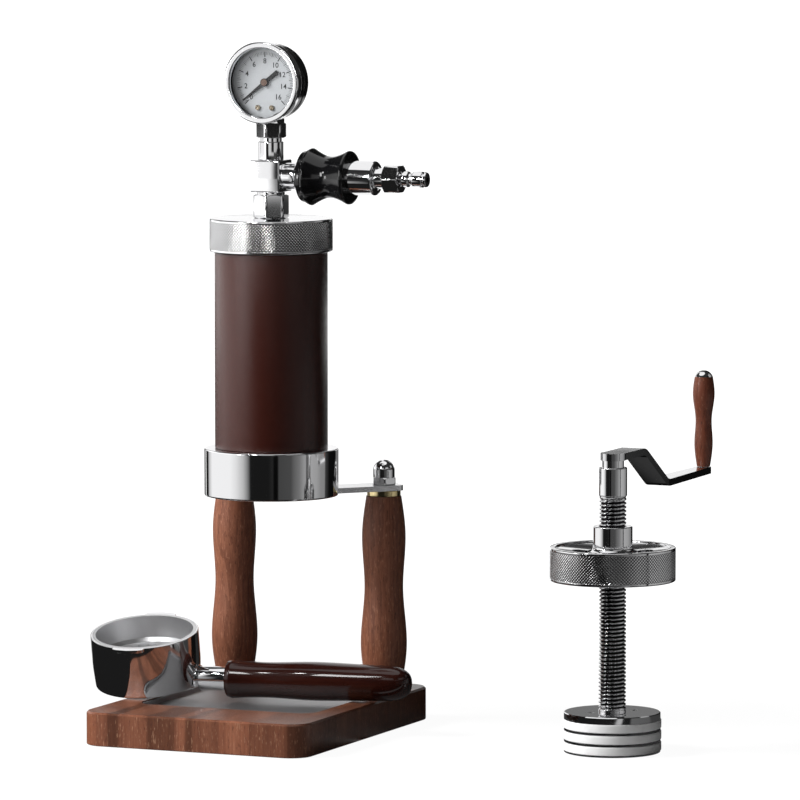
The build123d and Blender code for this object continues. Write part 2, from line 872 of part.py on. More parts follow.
# Socket-head screws sunk in the plate, on a circle outside the thrust disc.
def plate_screws():
    head = disc(plate_screw_r, plate_top - plate_screw_r, plate_top - 0.1)
    head -= Pos(0, 0, plate_top - 1.0) * extrude(RegularPolygon(plate_screw_r / 2, 6), 2)
    thread = disc(plate_screw_r / 2, plate_low, plate_top - plate_screw_r)
    return at_press(Compound(children=at_plate_screws(head + thread)))


# Screw with its thrust disc at the foot, plain shank, neck and the spigot riveted into the crank.
def press_screw():
    disc_low = thrust_top - thrust_height
    return at_press(turned([
        (0, disc_low), (thrust_r, disc_low), (thrust_r, thrust_top), (screw_r, thrust_top),
        (screw_r, shank_low), (shank_r - 0.6, shank_low), (shank_r, shank_low + 0.6),
        (shank_r, shank_top - 0.6), (shank_r - 0.6, shank_top), (spigot_neck_r, shank_top),
        (spigot_neck_r, crank_low), (spigot_r, crank_low), (spigot_r, crank_top), (0, crank_top),
    ]))


# Cap of the press: the same skirt as the air head's, a dished top inside a rim, the nut's boss and
# two vent holes.
def press_cap():
    e = cap_edge
    low = press_cap_low
    high = low + cap_height
    roof_low = high - cap_roof
    rim_r = cap_r - e - press_rim
    nut_r = screw_r + turn_gap
    cap = turned([
        (tube_r + thread_gap, low), (cap_r - e, low), (cap_r, low + e), (cap_r, high - e),
        (cap_r - e, high), (rim_r, high), (rim_r - 0.3, high - 1.0), (boss_r + 2, high - press_dish),
        (boss_r, high - press_dish + 1.6), (boss_r, high + boss_height - 0.8),
        (boss_r - 0.8, high + boss_height), (nut_r, high + boss_height), (nut_r, roof_low),
        (tube_r + thread_gap, roof_low),
    ])
    for turn in (vent_angle, vent_angle + 180):
        cap -= Rot(0, 0, turn) * Pos(vent_circle, 0, 0) * disc(vent_r, low, high + 1)
    return at_press(cap)


# Flat bar bent down and out, from the round hub along +Y, narrower past its second bend.
def crank_arm():
    end = grip_reach + crank_past_grip
    slope_end = crank_flat + crank_slope_run
    slope = math.hypot(crank_slope_run, crank_drop)
    shift = crank_thickness * (slope - crank_slope_run) / crank_drop
    side = make_face(Polyline(
        (0, crank_top), (crank_flat, crank_top), (slope_end, grip_low),
        (end, grip_low), (end, grip_low - crank_thickness),
        (slope_end - shift, grip_low - crank_thickness), (crank_flat - shift, crank_low),
        (0, crank_low), close=True))
    outer = [corner_at(side, crank_flat, crank_top),
             corner_at(side, slope_end - shift, grip_low - crank_thickness)]
    side = fillet(outer, crank_bend_r + crank_thickness)
    inner = [corner_at(side, slope_end, grip_low), corner_at(side, crank_flat - shift, crank_low)]
    side = fillet(inner, crank_bend_r)
    bar = extrude(Plane.YZ * side, crank_width / 2, both=True)
    half = crank_width / 2
    half_end = crank_end_width / 2
    outline = make_face(Polyline(
        (-half, 0), (half, 0), (half, slope_end), (half_end, end), (-half_end, end),
        (-half, slope_end), close=True))
    bar &= extrude(outline, 2 * crank_top)
    bar = fillet(bar.edges().filter_by(Axis.Z).group_by(Axis.Y)[-1], crank_end_edge)
    bar += disc(crank_hub_r, crank_low, crank_top)
    bar -= disc(spigot_r, crank_low - 1, crank_top + 1)
    bar -= Pos(0, grip_reach, grip_low) * Cylinder(grip_pin_r - 0.6, 4 * crank_thickness)
    return at_press(bar)


# The corner of a flat outline that lies nearest to a point.
def corner_at(outline, x, y):
    return outline.vertices().sort_by_distance((x, y))[0]


def at_grip(shape):
    return at_press(Pos(0, grip_reach, 0) * shape)


grip_start = grip_low + grip_play
grip_top = grip_start + grip_height


# Pin riveted in the arm: the grip turns on it under the pin's head.
def grip_pin():
    pin = disc(grip_pin_r - 0.6, grip_low - crank_thickness, grip_low)
    head_low = grip_top - grip_counterbore + grip_play
    pin += disc(grip_pin_r, grip_low, head_low)
    pin += disc(grip_pin_r + 1.4, head_low, head_low + pin_head_height)
    return at_grip(pin)


def crank_grip():
    line = [
        (grip_foot_r, grip_start), (grip_low_r, grip_start + 0.27 * grip_height),
        (grip_waist_r, grip_start + 0.54 * grip_height), (grip_high_r, grip_start + 0.8 * grip_height),
        (grip_top_r, grip_top),
    ]
    grip = turned_bar(line, grip_bore_r)
    grip -= disc(grip_pin_r + 1.7, grip_top - grip_counterbore, grip_top + 1)
    return at_grip(grip)


def grip_dome():
    cap_ball_r = (grip_top_r ** 2 + dome_height ** 2) / (2 * dome_height)
    ball = Pos(0, 0, grip_top + dome_height - cap_ball_r) * Sphere(cap_ball_r)
    dome = ball & disc(grip_top_r, grip_top, grip_top + dome_height)
    return at_grip(dome + disc(grip_pin_r + 1.6, grip_top - 2.5, grip_top))


def stand_parts():
    save("base_board", base_board())
    save("drip_tray", drip_tray())
    save("post_left", Pos(-post_x, post_y, 0) * post())
    save("post_right", Pos(post_x, post_y, 0) * post())
    save("tie_rods", at_each_post(tie_rod()))
    save("foot_washers", at_each_post(foot_washer()))
    save("foot_nuts", at_each_post(foot_nut()))
    save("post_rings", at_each_post(post_ring()))
    save("acorn_nuts", at_each_post(acorn_nut()))
    save("arm_right", arm(arm_angle))
    save("arm_left", arm(180 - arm_angle))
    save("group_collar", group_collar())
    save("group_gasket", group_gasket())
    save("chamber_tube", chamber_tube())
    save("chamber_sleeve", chamber_sleeve())
    save("shower_screen", shower_screen())


def head_parts():
    save("head_gasket", head_gasket())
    save("head_cap", head_cap())
    save("inlet_adapter", inlet_adapter())
    save("tee_block", tee_block())
    save("gauge_riser", gauge_riser())
    save("gauge_nut", gauge_nut())
    save("gauge_socket", gauge_socket())
    save("gauge_case", gauge_case())
    save("gauge_bezel", gauge_bezel())
    save("gauge_glass", gauge_glass())
    save("gauge_dial", gauge_dial())
    save("dial_screws", dial_screws())
    save("bourdon_tube", bourdon_tube())
    save("gauge_movement", gauge_movement())
    save("gauge_needle", gauge_needle())
    save("valve_nipple", valve_nipple())
    save("valve_barrel", valve_barrel())
    save("valve_seals", valve_seals())
    save("valve_sleeve", valve_sleeve())
    save("outlet_hex", outlet_hex())
    save("hose_plug", hose_plug())


def portafilter_parts():
    save("portafilter_cup", portafilter_cup())
    save("portafilter_neck", portafilter_neck())
    save("handle_stud", handle_stud())
    save("portafilter_handle", portafilter_handle())
    save("filter_basket", filter_basket())


def press_parts():
    save("piston_body", piston_body())
    save("piston_seals", piston_seals())
    save("piston_plate", piston_plate())
    save("plate_screws", plate_screws())
    save("press_screw", press_screw())
    save("press_cap", press_cap())
    save("crank_arm", crank_arm())
    save("grip_pin", grip_pin())
    save("crank_grip", crank_grip())
    save("grip_dome", grip_dome())


stand_parts()
head_parts()
portafilter_parts()
press_parts()
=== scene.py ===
import math
import bmesh
import bpy
import numpy as np
from mathutils import Matrix, Vector


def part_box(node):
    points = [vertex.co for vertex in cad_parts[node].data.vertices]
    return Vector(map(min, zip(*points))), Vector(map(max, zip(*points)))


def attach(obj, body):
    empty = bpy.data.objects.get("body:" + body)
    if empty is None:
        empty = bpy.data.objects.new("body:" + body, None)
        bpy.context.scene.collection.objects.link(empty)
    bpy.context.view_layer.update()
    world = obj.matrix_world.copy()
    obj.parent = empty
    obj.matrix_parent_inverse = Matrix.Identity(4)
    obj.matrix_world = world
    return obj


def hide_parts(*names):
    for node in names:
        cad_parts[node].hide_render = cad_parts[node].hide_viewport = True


# A manual espresso maker: stand with leather-clad chamber, air head with gauge and slide valve,
# portafilter, and a screw press beside it. Sizes here are millimetres until makePiece.

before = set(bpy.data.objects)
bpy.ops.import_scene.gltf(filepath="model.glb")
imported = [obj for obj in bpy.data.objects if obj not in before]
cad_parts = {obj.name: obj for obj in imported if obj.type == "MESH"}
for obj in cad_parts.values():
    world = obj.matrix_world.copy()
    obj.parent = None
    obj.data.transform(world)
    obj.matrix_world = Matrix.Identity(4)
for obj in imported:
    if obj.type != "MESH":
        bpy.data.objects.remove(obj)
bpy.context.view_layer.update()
mm = 0.001


# Lowest and highest corner of a CAD node, in millimetres.
def boxOf(node):
    low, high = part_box(node)
    return np.array(low) / mm, np.array(high) / mm


# An upright round node: its axis, its radius and its two heights.
def uprightOf(node):
    low, high = boxOf(node)
    middle = (low + high) / 2
    return {"x": middle[0], "y": middle[1], "r": (high[0] - low[0]) / 2, "low": low[2], "high": high[2]}


# Corners (r, z, rounding) to points: each corner is swapped for a short curve from one side to the
# other, (1-t)^2 a + 2t(1-t) corner + t^2 b, that starts and ends at the rounding's distance.
def rounded(corners, closed=False, steps=6):
    corner = np.array([c[:2] for c in corners], float)
    back = np.array([c[2] if len(c) > 2 else 0.0 for c in corners])
    count = len(corner)
    points = []
    for k in range(count):
        before, after = corner[(k - 1) % count], corner[(k + 1) % count]
        if back[k] == 0 or (not closed and k in (0, count - 1)):
            points.append(corner[k][None])
            continue
        toBefore, toAfter = before - corner[k], after - corner[k]
        a = corner[k] + toBefore * min(0.5, back[k] / np.linalg.norm(toBefore))
        b = corner[k] + toAfter * min(0.5, back[k] / np.linalg.norm(toAfter))
        t = np.linspace(0, 1, steps)[:, None]
        points.append((1 - t) ** 2 * a + 2 * t * (1 - t) * corner[k] + t ** 2 * b)
    return np.vstack(points)


# Smooth line through points: a cubic in each span, with the slopes that make the second
# derivative steady across the joints, over the distance travelled.
def smoothLine(points, count):
    p = np.array(points, float)
    s = np.concatenate([[0], np.cumsum(np.linalg.norm(np.diff(p, axis=0), axis=1))])
    n, h = len(p), np.diff(s)
    rows = np.zeros((n, n))
    right = np.zeros((n, 2))
    rows[0, 0], rows[-1, -1] = 1, 1
    for k in range(1, n - 1):
        rows[k, k - 1:k + 2] = h[k - 1], 2 * (h[k - 1] + h[k]), h[k]
        right[k] = 6 * ((p[k + 1] - p[k]) / h[k] - (p[k] - p[k - 1]) / h[k - 1])
    bend = np.linalg.solve(rows, right)
    at = np.linspace(0, s[-1], count)
    k = np.clip(np.searchsorted(s, at, side="right") - 1, 0, n - 2)
    u, w = (at - s[k])[:, None], (s[k + 1] - at)[:, None]
    hk = h[k][:, None]
    curve = (bend[k] * w ** 3 + bend[k + 1] * u ** 3) / (6 * hk)
    return curve + (p[k] / hk - bend[k] * hk / 6) * w + (p[k + 1] / hk - bend[k + 1] * hk / 6) * u


# Quads of a grid of points, row after row; either way round may close on itself.
def gridQuads(rows, columns, closeRows, closeColumns):
    i, j = np.meshgrid(np.arange(rows - (not closeRows)), np.arange(columns - (not closeColumns)),
        indexing="ij")
    nextI, nextJ = (i + 1) % rows, (j + 1) % columns
    quads = np.stack([i * columns + j, i * columns + nextJ, nextI * columns + nextJ, nextI * columns + j], -1)
    return quads.reshape(-1, 4)


# Grid round the Z axis: point (row, column) lies at radius[row, column] and height[row, column]
# in the direction of its column's angle.
def roundGrid(radius, height, closed=False):
    turn = 2 * np.pi * np.arange(radius.shape[1]) / radius.shape[1]
    points = np.stack([radius * np.cos(turn), radius * np.sin(turn), height + 0 * radius], -1)
    return points.reshape(-1, 3), gridQuads(radius.shape[0], radius.shape[1], closed, True)


# An outline turned round the Z axis: the same radius and height in every direction.
def turned(outline, steps=128, closed=False):
    around = np.ones(steps)
    return roundGrid(outline[:, :1] * around, outline[:, 1:2] * around, closed)


# A closed outline turned round: a piece with a hole along its axis.
def bored(corners, steps):
    return turned(rounded(corners, True), steps, True)


# Hex bar with a corner at 0 degrees, turned off at 30 degrees at both ends. In direction a the
# flats stand at flats / 2 / max(cos(a - 30 - 60 k)), softened near the corners by a power mean, and
# the cone at the ends lets no point stand further out than flats / 2 plus its height over tan(30).
def hexBar(flats, low, high, boreR=0.0, perSide=16, sharpness=90.0):
    turn = 2 * np.pi * np.arange(6 * perSide) / (6 * perSide)
    sides = np.cos(turn[:, None] - np.pi / 6 - np.pi / 3 * np.arange(6)).clip(0)
    side = flats / 2 / (sides ** sharpness).sum(1) ** (1 / sharpness)
    bevel = (flats / math.sqrt(3) - flats / 2) * math.tan(math.radians(30))
    step = np.linspace(0, 1, 6) * bevel
    zs = np.concatenate([[low, low], low + step, high - step[::-1], [high, high]])
    over = np.concatenate([step, step[::-1]]) / math.tan(math.radians(30))
    cone = np.concatenate([[boreR, flats / 2 - 0.4], flats / 2 + over, [flats / 2 - 0.4, boreR]])
    radius = np.minimum(side[None, :], cone[:, None])
    return roundGrid(radius, zs[:, None] * np.ones(len(turn)), boreR > 0)


# Several surfaces as one.
def together(*surfaces):
    points, quads, start = [], [], 0
    for p, q in surfaces:
        points.append(p)
        quads.append(q + start)
        start += len(p)
    return np.vstack(points), np.vstack(quads)


# A surface moved by a matrix, or just shifted.
def moved(surface, matrix):
    m = np.array(matrix)
    return surface[0] @ m[:3, :3].T + m[:3, 3], surface[1]


def shifted(surface, x, y, z=0.0):
    return surface[0] + np.array([x, y, z]), surface[1]


def turnBy(degrees, axis="Z"):
    return Matrix.Rotation(math.radians(degrees), 4, axis)


# A surface round the Z axis, put on an upright node's axis.
def stood(surface, spot, z=0.0):
    return shifted(surface, spot["x"], spot["y"], z)


# Rounded plate: rows of a rounded rectangle, drawn in a little at the lower and upper edge.
# A row's points are centre + corner radius * (cos, sin) round each of four corner centres.
def slab(width, depth, corner, low, high, edge, perCorner=10):
    turn = np.concatenate([np.linspace(0, np.pi / 2, perCorner) + k * np.pi / 2 for k in range(4)])
    signX = np.repeat([1, -1, -1, 1], perCorner)
    signY = np.repeat([1, 1, -1, -1], perCorner)
    t = np.linspace(0, np.pi / 2, 5)
    lid = [min(width, depth) / 2 - 0.01]
    inset = np.concatenate([lid, edge * (1 - np.sin(t)), edge * (1 - np.cos(t)), lid])
    zs = np.concatenate([[low], low + edge * (1 - np.cos(t)), high - edge + edge * np.sin(t), [high]])
    r = np.maximum(corner - inset, 0.0)[:, None]
    halfX = np.maximum(width / 2 - np.maximum(corner, inset), 0.0)[:, None]
    halfY = np.maximum(depth / 2 - np.maximum(corner, inset), 0.0)[:, None]
    x = signX * halfX + r * np.cos(turn)
    y = signY * halfY + r * np.sin(turn)
    points = np.stack([x, y, zs[:, None] + 0 * x], -1)
    return points.reshape(-1, 3), gridQuads(len(zs), len(turn), False, True)


def newObject(name, data):
    thing = bpy.data.objects.new(name, data)
    bpy.context.scene.collection.objects.link(thing)
    return thing


# Turns a surface into a finished object, in metres, with its doubles merged, its faces outwards
# and its edges sharp where two faces meet at more than the crease angle. It takes the place of the
# CAD node of the same name, unless another one, or none, is given.
def makePiece(name, surface, finish, body, crease=40.0, node=None):
    points, quads = surface
    mesh = bpy.data.meshes.new(name)
    mesh.from_pydata([], [], [])
    mesh.vertices.add(len(points))
    mesh.vertices.foreach_set("co", (points * mm).astype(np.float32).ravel())
    mesh.loops.add(quads.size)
    mesh.loops.foreach_set("vertex_index", quads.ravel().astype(np.int32))
    mesh.polygons.add(len(quads))
    mesh.polygons.foreach_set("loop_start", np.arange(0, quads.size, 4, dtype=np.int32))
    mesh.polygons.foreach_set("loop_total", np.full(len(quads), 4, np.int32))
    mesh.update(calc_edges=True)
    return dress(newObject(name, mesh), finish, body, name.replace(".", "_") if node is None else node,
        crease)


# Doubles merged, empty faces gone and faces turned outwards.
def clean(mesh):
    work = bmesh.new()
    work.from_mesh(mesh)
    bmesh.ops.remove_doubles(work, verts=work.verts, dist=2e-6)
    bmesh.ops.dissolve_degenerate(work, edges=work.edges, dist=1e-7)
    bmesh.ops.recalc_face_normals(work, faces=work.faces)
    work.to_mesh(mesh)
    work.free()


def smooth(piece, crease):
    piece.data.polygons.foreach_set("use_smooth", np.ones(len(piece.data.polygons), bool))
    piece.data.set_sharp_from_angle(angle=math.radians(crease))


def dress(piece, finish, body, node, crease):
    clean(piece.data)
    smooth(piece, crease)
    piece.data.materials.clear()
    piece.data.materials.append(finish)
    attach(piece, body)
    if node:
        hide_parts(*([node] if isinstance(node, str) else node))
    return piece


# A socket that takes part in sums: each operator adds its Math node.
class Val:
    def __init__(self, finish, socket):
        self.finish = finish
        self.socket = socket

    def __add__(self, other):
        return self.finish.maths("ADD", self, other)

    def __sub__(self, other):
        return self.finish.maths("SUBTRACT", self, other)

    def __rsub__(self, other):
        return self.finish.maths("SUBTRACT", other, self)

    def __mul__(self, other):
        return self.finish.maths("MULTIPLY", self, other)

    def __truediv__(self, other):
        return self.finish.maths("DIVIDE", self, other)

    __radd__ = __add__
    __rmul__ = __mul__


class Finish:
    def __init__(self, name, fixed):
        self.material = bpy.data.materials.new(name)
        self.material.use_nodes = True
        self.tree = self.material.node_tree
        self.shader = self.tree.nodes["Principled BSDF"]
        for socket, value in fixed.items():
            self.shader.inputs[socket].default_value = value

    # Any node: its settings first, then its sockets' values or links; gives one output.
    def node(self, kind, settings=None, sockets=None, output=0):
        made = self.tree.nodes.new(kind)
        for key, value in (settings or {}).items():
            if key == "stops":
                fillRamp(made.color_ramp, value)
            else:
                setattr(made, key, value)
        for key, value in (sockets or {}).items():
            self.feed(made.inputs[key], value)
        return Val(self, made.outputs[output])

    def feed(self, socket, value):
        if isinstance(value, Val):
            self.tree.links.new(value.socket, socket)
        else:
            socket.default_value = value

    def maths(self, operation, *values):
        return self.node("ShaderNodeMath", {"operation": operation}, dict(enumerate(values)))

    def place(self):
        return self.node("ShaderNodeTexCoord", output="Object")

    # The place turned, shifted and stretched, so that a pattern can lie along a piece.
    def mapped(self, place, shift=(0, 0, 0), turn=(0, 0, 0), stretch=(1, 1, 1)):
        return self.node("ShaderNodeMapping", None, {
            "Vector": place, "Location": shift, "Rotation": turn, "Scale": stretch})

    def noise(self, place, scale, detail=3.0, roughness=0.5, warp=0.0):
        return self.node("ShaderNodeTexNoise", None, {
            "Vector": place, "Scale": scale, "Detail": detail, "Roughness": roughness, "Distortion": warp})

    def ramp(self, value, stops):
        return self.node("ShaderNodeValToRGB", {"stops": stops}, {"Fac": value})

    def blend(self, share, first, second, way="MIX"):
        return self.node("ShaderNodeMix", {"data_type": "RGBA", "blend_type": way},
            {0: share, 6: first, 7: second}, 2)

    def bump(self, height, depth, strength=1.0):
        return self.node("ShaderNodeBump", None, {"Height": height, "Distance": depth, "Strength": strength})

    # One coordinate of a place: 0, 1 or 2.
    def part(self, place, which):
        return self.node("ShaderNodeSeparateXYZ", None, {"Vector": place}, which)

    # Links the values that vary to the shader, and gives the material.
    def wear(self, **values):
        sockets = {"colour": "Base Color", "roughness": "Roughness", "normal": "Normal"}
        for key, value in values.items():
            self.feed(self.shader.inputs[sockets[key]], value)
        return self.material


def fillRamp(ramp, stops):
    while len(ramp.elements) > 1:
        ramp.elements.remove(ramp.elements[-1])
    for k, (at, colour) in enumerate(stops):
        element = ramp.elements[0] if k == 0 else ramp.elements.new(at)
        element.position = at
        element.color = (*colour, 1)


# Polished plating: near mirror, with faint smears that only change its roughness.
def plated(name, colour, roughness, smear=0.04):
    finish = Finish(name, {"Base Color": (*colour, 1), "Metallic": 1.0})
    cloud = finish.noise(finish.place(), 45.0, 4.0, 0.6)
    return finish.wear(roughness=roughness + (cloud - 0.5) * smear)


# Plating with grooves: between two heights its colour darkens from the crest's radius about the axis
# down to the groove's root, as painted shade, since little light reaches in there.
def grooved(name, spot, crest, depth, low, high, shade):
    look = {"metal": (0.92, 0.92, 0.93, 1), "deep": (0.03, 0.03, 0.032, 1), "roughness": 0.09}
    finish = Finish(name, {"Metallic": 1.0})
    parts = [finish.part(finish.place(), k) for k in range(3)]
    x, y = parts[0] - float(spot["x"] * mm), parts[1] - float(spot["y"] * mm)
    down = (float(crest * mm) - finish.maths("SQRT", x * x + y * y)) / float(depth * mm)
    level = finish.maths("ABSOLUTE", parts[2] - float((low + high) / 2 * mm))
    inside = finish.maths("LESS_THAN", level, float((high - low) / 2 * mm))
    # share: how much painted shade lies on the colour, most at the groove's root
    share = finish.ramp(down, [(shade[0], (0, 0, 0)), (shade[1], (1, 1, 1))]) * inside
    return finish.wear(colour=finish.blend(share, look["metal"], look["deep"]), roughness=look["roughness"])


# Satin steel: fine lines along one direction, in roughness and in height.
def satin(name, colour, roughness, along=(1, 1, 1), depth=0.000012):
    finish = Finish(name, {"Metallic": 1.0})
    lines = finish.noise(finish.mapped(finish.place(), stretch=along), 900.0, 3.0, 0.6)
    cloud = finish.noise(finish.place(), 30.0, 3.0, 0.6)
    tone = finish.blend(cloud * 0.5, (*colour, 1), (*[c * 0.72 for c in colour], 1))
    return finish.wear(colour=tone, roughness=roughness + (lines - 0.5) * 0.16,
        normal=finish.bump(lines, depth))


# Wood with its grain along Z once turned: a broad figure, growth rings round a core beside the
# piece, fine fibres, and short pores that are partly pale with polish and partly dark.
def wood(name, look):
    finish = Finish(name, {"Specular IOR Level": look["gloss"], "Coat Weight": look.get("coat", 0.0),
        "Coat Roughness": 0.06})
    grain = finish.mapped(finish.place(), look["core"], look["turn"])
    slow = finish.noise(finish.mapped(grain, stretch=(1, 1, 0.12)), look["broad"], 4.0, 0.6, 0.4)
    x, y = finish.part(grain, 0), finish.part(grain, 1)
    away = finish.maths("SQRT", x * x + y * y)
    ring = finish.maths("FRACT", away * look["rings"] + slow * look["warp"])
    fibres = finish.noise(finish.mapped(grain, stretch=(1, 1, 0.03)), look["fine"], 4.0, 0.65)
    flecks = finish.noise(finish.mapped(grain, stretch=(1, 1, 0.16)), 1500.0, 2.0, 0.5)
    pale = finish.ramp(flecks, [(0.62, (0, 0, 0)), (0.70, (1, 1, 1))])
    dark = finish.ramp(flecks, [(0.30, (1, 1, 1)), (0.38, (0, 0, 0))])
    share = look["share"]
    tone = finish.ramp(slow * share[0] + ring * share[1] + fibres * share[2], [
        (0.25, look["pale"]), (0.5, look["middle"]), (0.75, look["dark"])])
    if "strips" in look:
        tone = finish.blend(1.0, tone, stripTone(finish, slow, look["strips"]), "MULTIPLY")
    tone = finish.blend(dark * look["pore"], tone, (*look["poreTone"], 1))
    tone = finish.blend(pale * look["fleck"], tone, (*look["fleckTone"], 1))
    height = fibres * 0.5 + pale * 0.4 - dark * 1.0
    rough = look["roughness"] + (fibres - 0.5) * 0.2 + dark * 0.1
    return finish.wear(colour=tone, roughness=rough, normal=finish.bump(height, look["depth"]))


# Glued strips: the place across the board goes from 0 to 1 and picks each strip's tone from a ramp
# with steep steps; slow noise moves the borders a little.
def stripTone(finish, slow, strips):
    x = finish.part(finish.place(), 0)
    across = (x + (slow - 0.5) * strips["wander"]) / (2 * strips["half"]) + 0.5
    stops = []
    for k, (at, tone) in enumerate(strips["tones"]):
        here = at / (2 * strips["half"]) * mm + 0.5
        if k:
            stops.append((here - strips["soft"], [before * c for c in strips["tint"]]))
        stops.append((here + strips["soft"], [tone * c for c in strips["tint"]]))
        before = tone
    return finish.ramp(across, stops)


# Leather: small cells with steep seams, longer creases, and clouds where it is worn.
def leatherFinish():
    look = {"skin": (0.036, 0.0068, 0.0042), "worn": (0.052, 0.0125, 0.008), "grain": 1700.0, "crease": 520.0,
            "cloud": 28.0, "steep": 4.0, "roughness": 0.19, "depth": 0.00006}
    finish = Finish("leather", {"Specular IOR Level": 0.55})
    place = finish.place()
    cells = finish.node("ShaderNodeTexVoronoi", {"feature": "DISTANCE_TO_EDGE"},
        {"Vector": place, "Scale": look["grain"]})
    crease = finish.noise(finish.mapped(place, stretch=(1, 1, 0.6)), look["crease"], 4.0, 0.65, 0.6)
    cloud = finish.noise(place, look["cloud"], 4.0, 0.6)
    tone = finish.blend(cloud * 0.55 + crease * 0.25, (*look["skin"], 1), (*look["worn"], 1))
    height = finish.maths("MINIMUM", cells * look["steep"], 1.0) * 0.5 + crease * 0.8
    rough = look["roughness"] + (crease - 0.5) * 0.16 + (cloud - 0.5) * 0.06
    return finish.wear(colour=tone, roughness=rough, normal=finish.bump(height, look["depth"]))


def glossBlack(name, roughness):
    finish = Finish(name, {"Base Color": (0.004, 0.004, 0.0045, 1), "Specular IOR Level": 0.35,
        "Coat Weight": 0.4, "Coat Roughness": 0.05})
    cloud = finish.noise(finish.place(), 160.0, 4.0, 0.6)
    return finish.wear(roughness=roughness + (cloud - 0.5) * 0.08, normal=finish.bump(cloud, 0.00001))


# Needle: black paint, and bare copper-brown metal within the hub's radius about the shaft.
def needleFinish():
    hub = {"r": 0.0021, "metal": (0.16, 0.11, 0.09), "paint": (0.012, 0.012, 0.013)}
    low, high = boxOf("gauge_bezel")
    finish = Finish("needle", {})
    x = finish.part(finish.place(), 0) - float((low[0] + high[0]) / 2 * mm)
    z = finish.part(finish.place(), 2) - float((low[2] + high[2]) / 2 * mm)
    inside = finish.maths("LESS_THAN", finish.maths("SQRT", x * x + z * z), hub["r"])
    finish.feed(finish.shader.inputs["Metallic"], inside)
    return finish.wear(colour=finish.blend(inside, (*hub["paint"], 1), (*hub["metal"], 1)),
        roughness=0.5 - inside * 0.15)


def plain(name, colour, roughness, fixed=None):
    finish = Finish(name, fixed or {})
    cloud = finish.noise(finish.place(), 220.0, 3.0, 0.6)
    tone = finish.blend(cloud, (*colour, 1), (*[c * 0.9 for c in colour], 1))
    return finish.wear(colour=tone, roughness=roughness + (cloud - 0.5) * 0.06)


print("finishes")
chrome = plated("chrome", (0.86, 0.86, 0.87), 0.07)
darkChrome = plated("darkChrome", (0.22, 0.22, 0.23), 0.12)
brushed = satin("brushedChrome", (0.80, 0.80, 0.81), 0.22, (1, 1, 0.05))
steel = satin("satinSteel", (0.52, 0.52, 0.53), 0.30, (0.04, 1, 1))
trayMetal = satin("trayMetal", (0.62, 0.62, 0.63), 0.58, (0.04, 1, 1))
basketSteel = satin("basketSteel", (0.86, 0.86, 0.87), 0.34, (1, 1, 0.04))
polished = satin("polishedSteel", (0.84, 0.84, 0.85), 0.09, (1, 0.05, 1), 0.000004)
steelTube = satin("satinTube", (0.60, 0.60, 0.61), 0.28, (1, 1, 0.04))
brass = plated("brass", (0.90, 0.74, 0.40), 0.16, 0.1)
# Very dark brass for the dial screws: partly their own grey-brown tone, partly painted shade.
screwBrassAndShade = plated("screwBrassAndShade", (0.20, 0.17, 0.13), 0.22, 0.1)
leather = leatherFinish()
blackGloss = glossBlack("blackGloss", 0.16)
rubber = plain("rubber", (0.02, 0.02, 0.02), 0.55)
sealWhite = plain("sealWhite", (0.96, 0.96, 0.96), 0.42)
dialWhite = plain("dialWhite", (0.50, 0.52, 0.54), 0.5)
printBlack = plain("printBlack", (0.012, 0.012, 0.013), 0.5)
glassClear = plain("glassClear", (0.1, 0.1, 0.1), 0.04, {"Alpha": 0.04, "IOR": 1.5})
boardWalnut = wood("boardWalnut", {
    "core": (0.3, 0.2, 0.0), "turn": (0, 0, 0), "broad": 60.0, "rings": 60.0, "warp": 1.2, "fine": 700.0,
    "gloss": 0.5, "share": (0.45, 0.08, 0.45), "pale": (0.29, 0.118, 0.066), "middle": (0.18, 0.066, 0.036),
    "dark": (0.085, 0.029, 0.016), "pore": 0.6, "poreTone": (0.05, 0.015, 0.008), "fleck": 0.5,
    "fleckTone": (0.46, 0.26, 0.16), "roughness": 0.32, "depth": 0.00005,
    "strips": {"half": 0.08, "wander": 0.006, "soft": 0.006, "tint": (1.0, 0.97, 0.95),
    "tones": [(-80, 1.1), (-58, 0.5), (-50, 1.0), (-30, 0.56), (-11, 1.1), (-3.5, 0.56), (2, 0.92),
    (20, 1.2), (41, 0.86), (67, 0.62)]}})
postLook = {
    "core": (0.02, 0.03, 0.0), "turn": (0.04, 0.03, 0), "broad": 90.0, "rings": 330.0, "warp": 5.0,
    "fine": 1100.0, "gloss": 0.35, "share": (0.35, 0.2, 0.45), "pale": (0.30, 0.118, 0.064),
    "middle": (0.205, 0.074, 0.040), "dark": (0.11, 0.036, 0.019), "pore": 0.6,
    "poreTone": (0.045, 0.015, 0.009), "fleck": 0.5, "fleckTone": (0.46, 0.22, 0.13), "roughness": 0.42,
    "depth": 0.00007}
postWalnut = wood("postWalnut", postLook)
gripWood = wood("gripWood", {
    **postLook, "core": (-0.235, -0.155, 0.0), "share": (0.4, 0.12, 0.45), "pale": (0.28, 0.082, 0.042),
    "middle": (0.20, 0.056, 0.028), "dark": (0.125, 0.033, 0.017), "roughness": 0.38, "coat": 0.15})
lacquer = wood("lacquer", {
    "core": (0.06, 0.03, 0.0), "turn": (0, math.pi / 2, -math.radians(7.4)), "broad": 120.0, "rings": 90.0,
    "warp": 1.5, "fine": 500.0, "gloss": 0.1, "coat": 0.9, "share": (0.55, 0.1, 0.35),
    "pale": (0.034, 0.0068, 0.0036), "middle": (0.020, 0.0038, 0.0022), "dark": (0.012, 0.0026, 0.0018),
    "pore": 0.2, "poreTone": (0.008, 0.002, 0.0015), "fleck": 0.0, "fleckTone": (0.1, 0.03, 0.02),
    "roughness": 0.30, "depth": 0.000006})


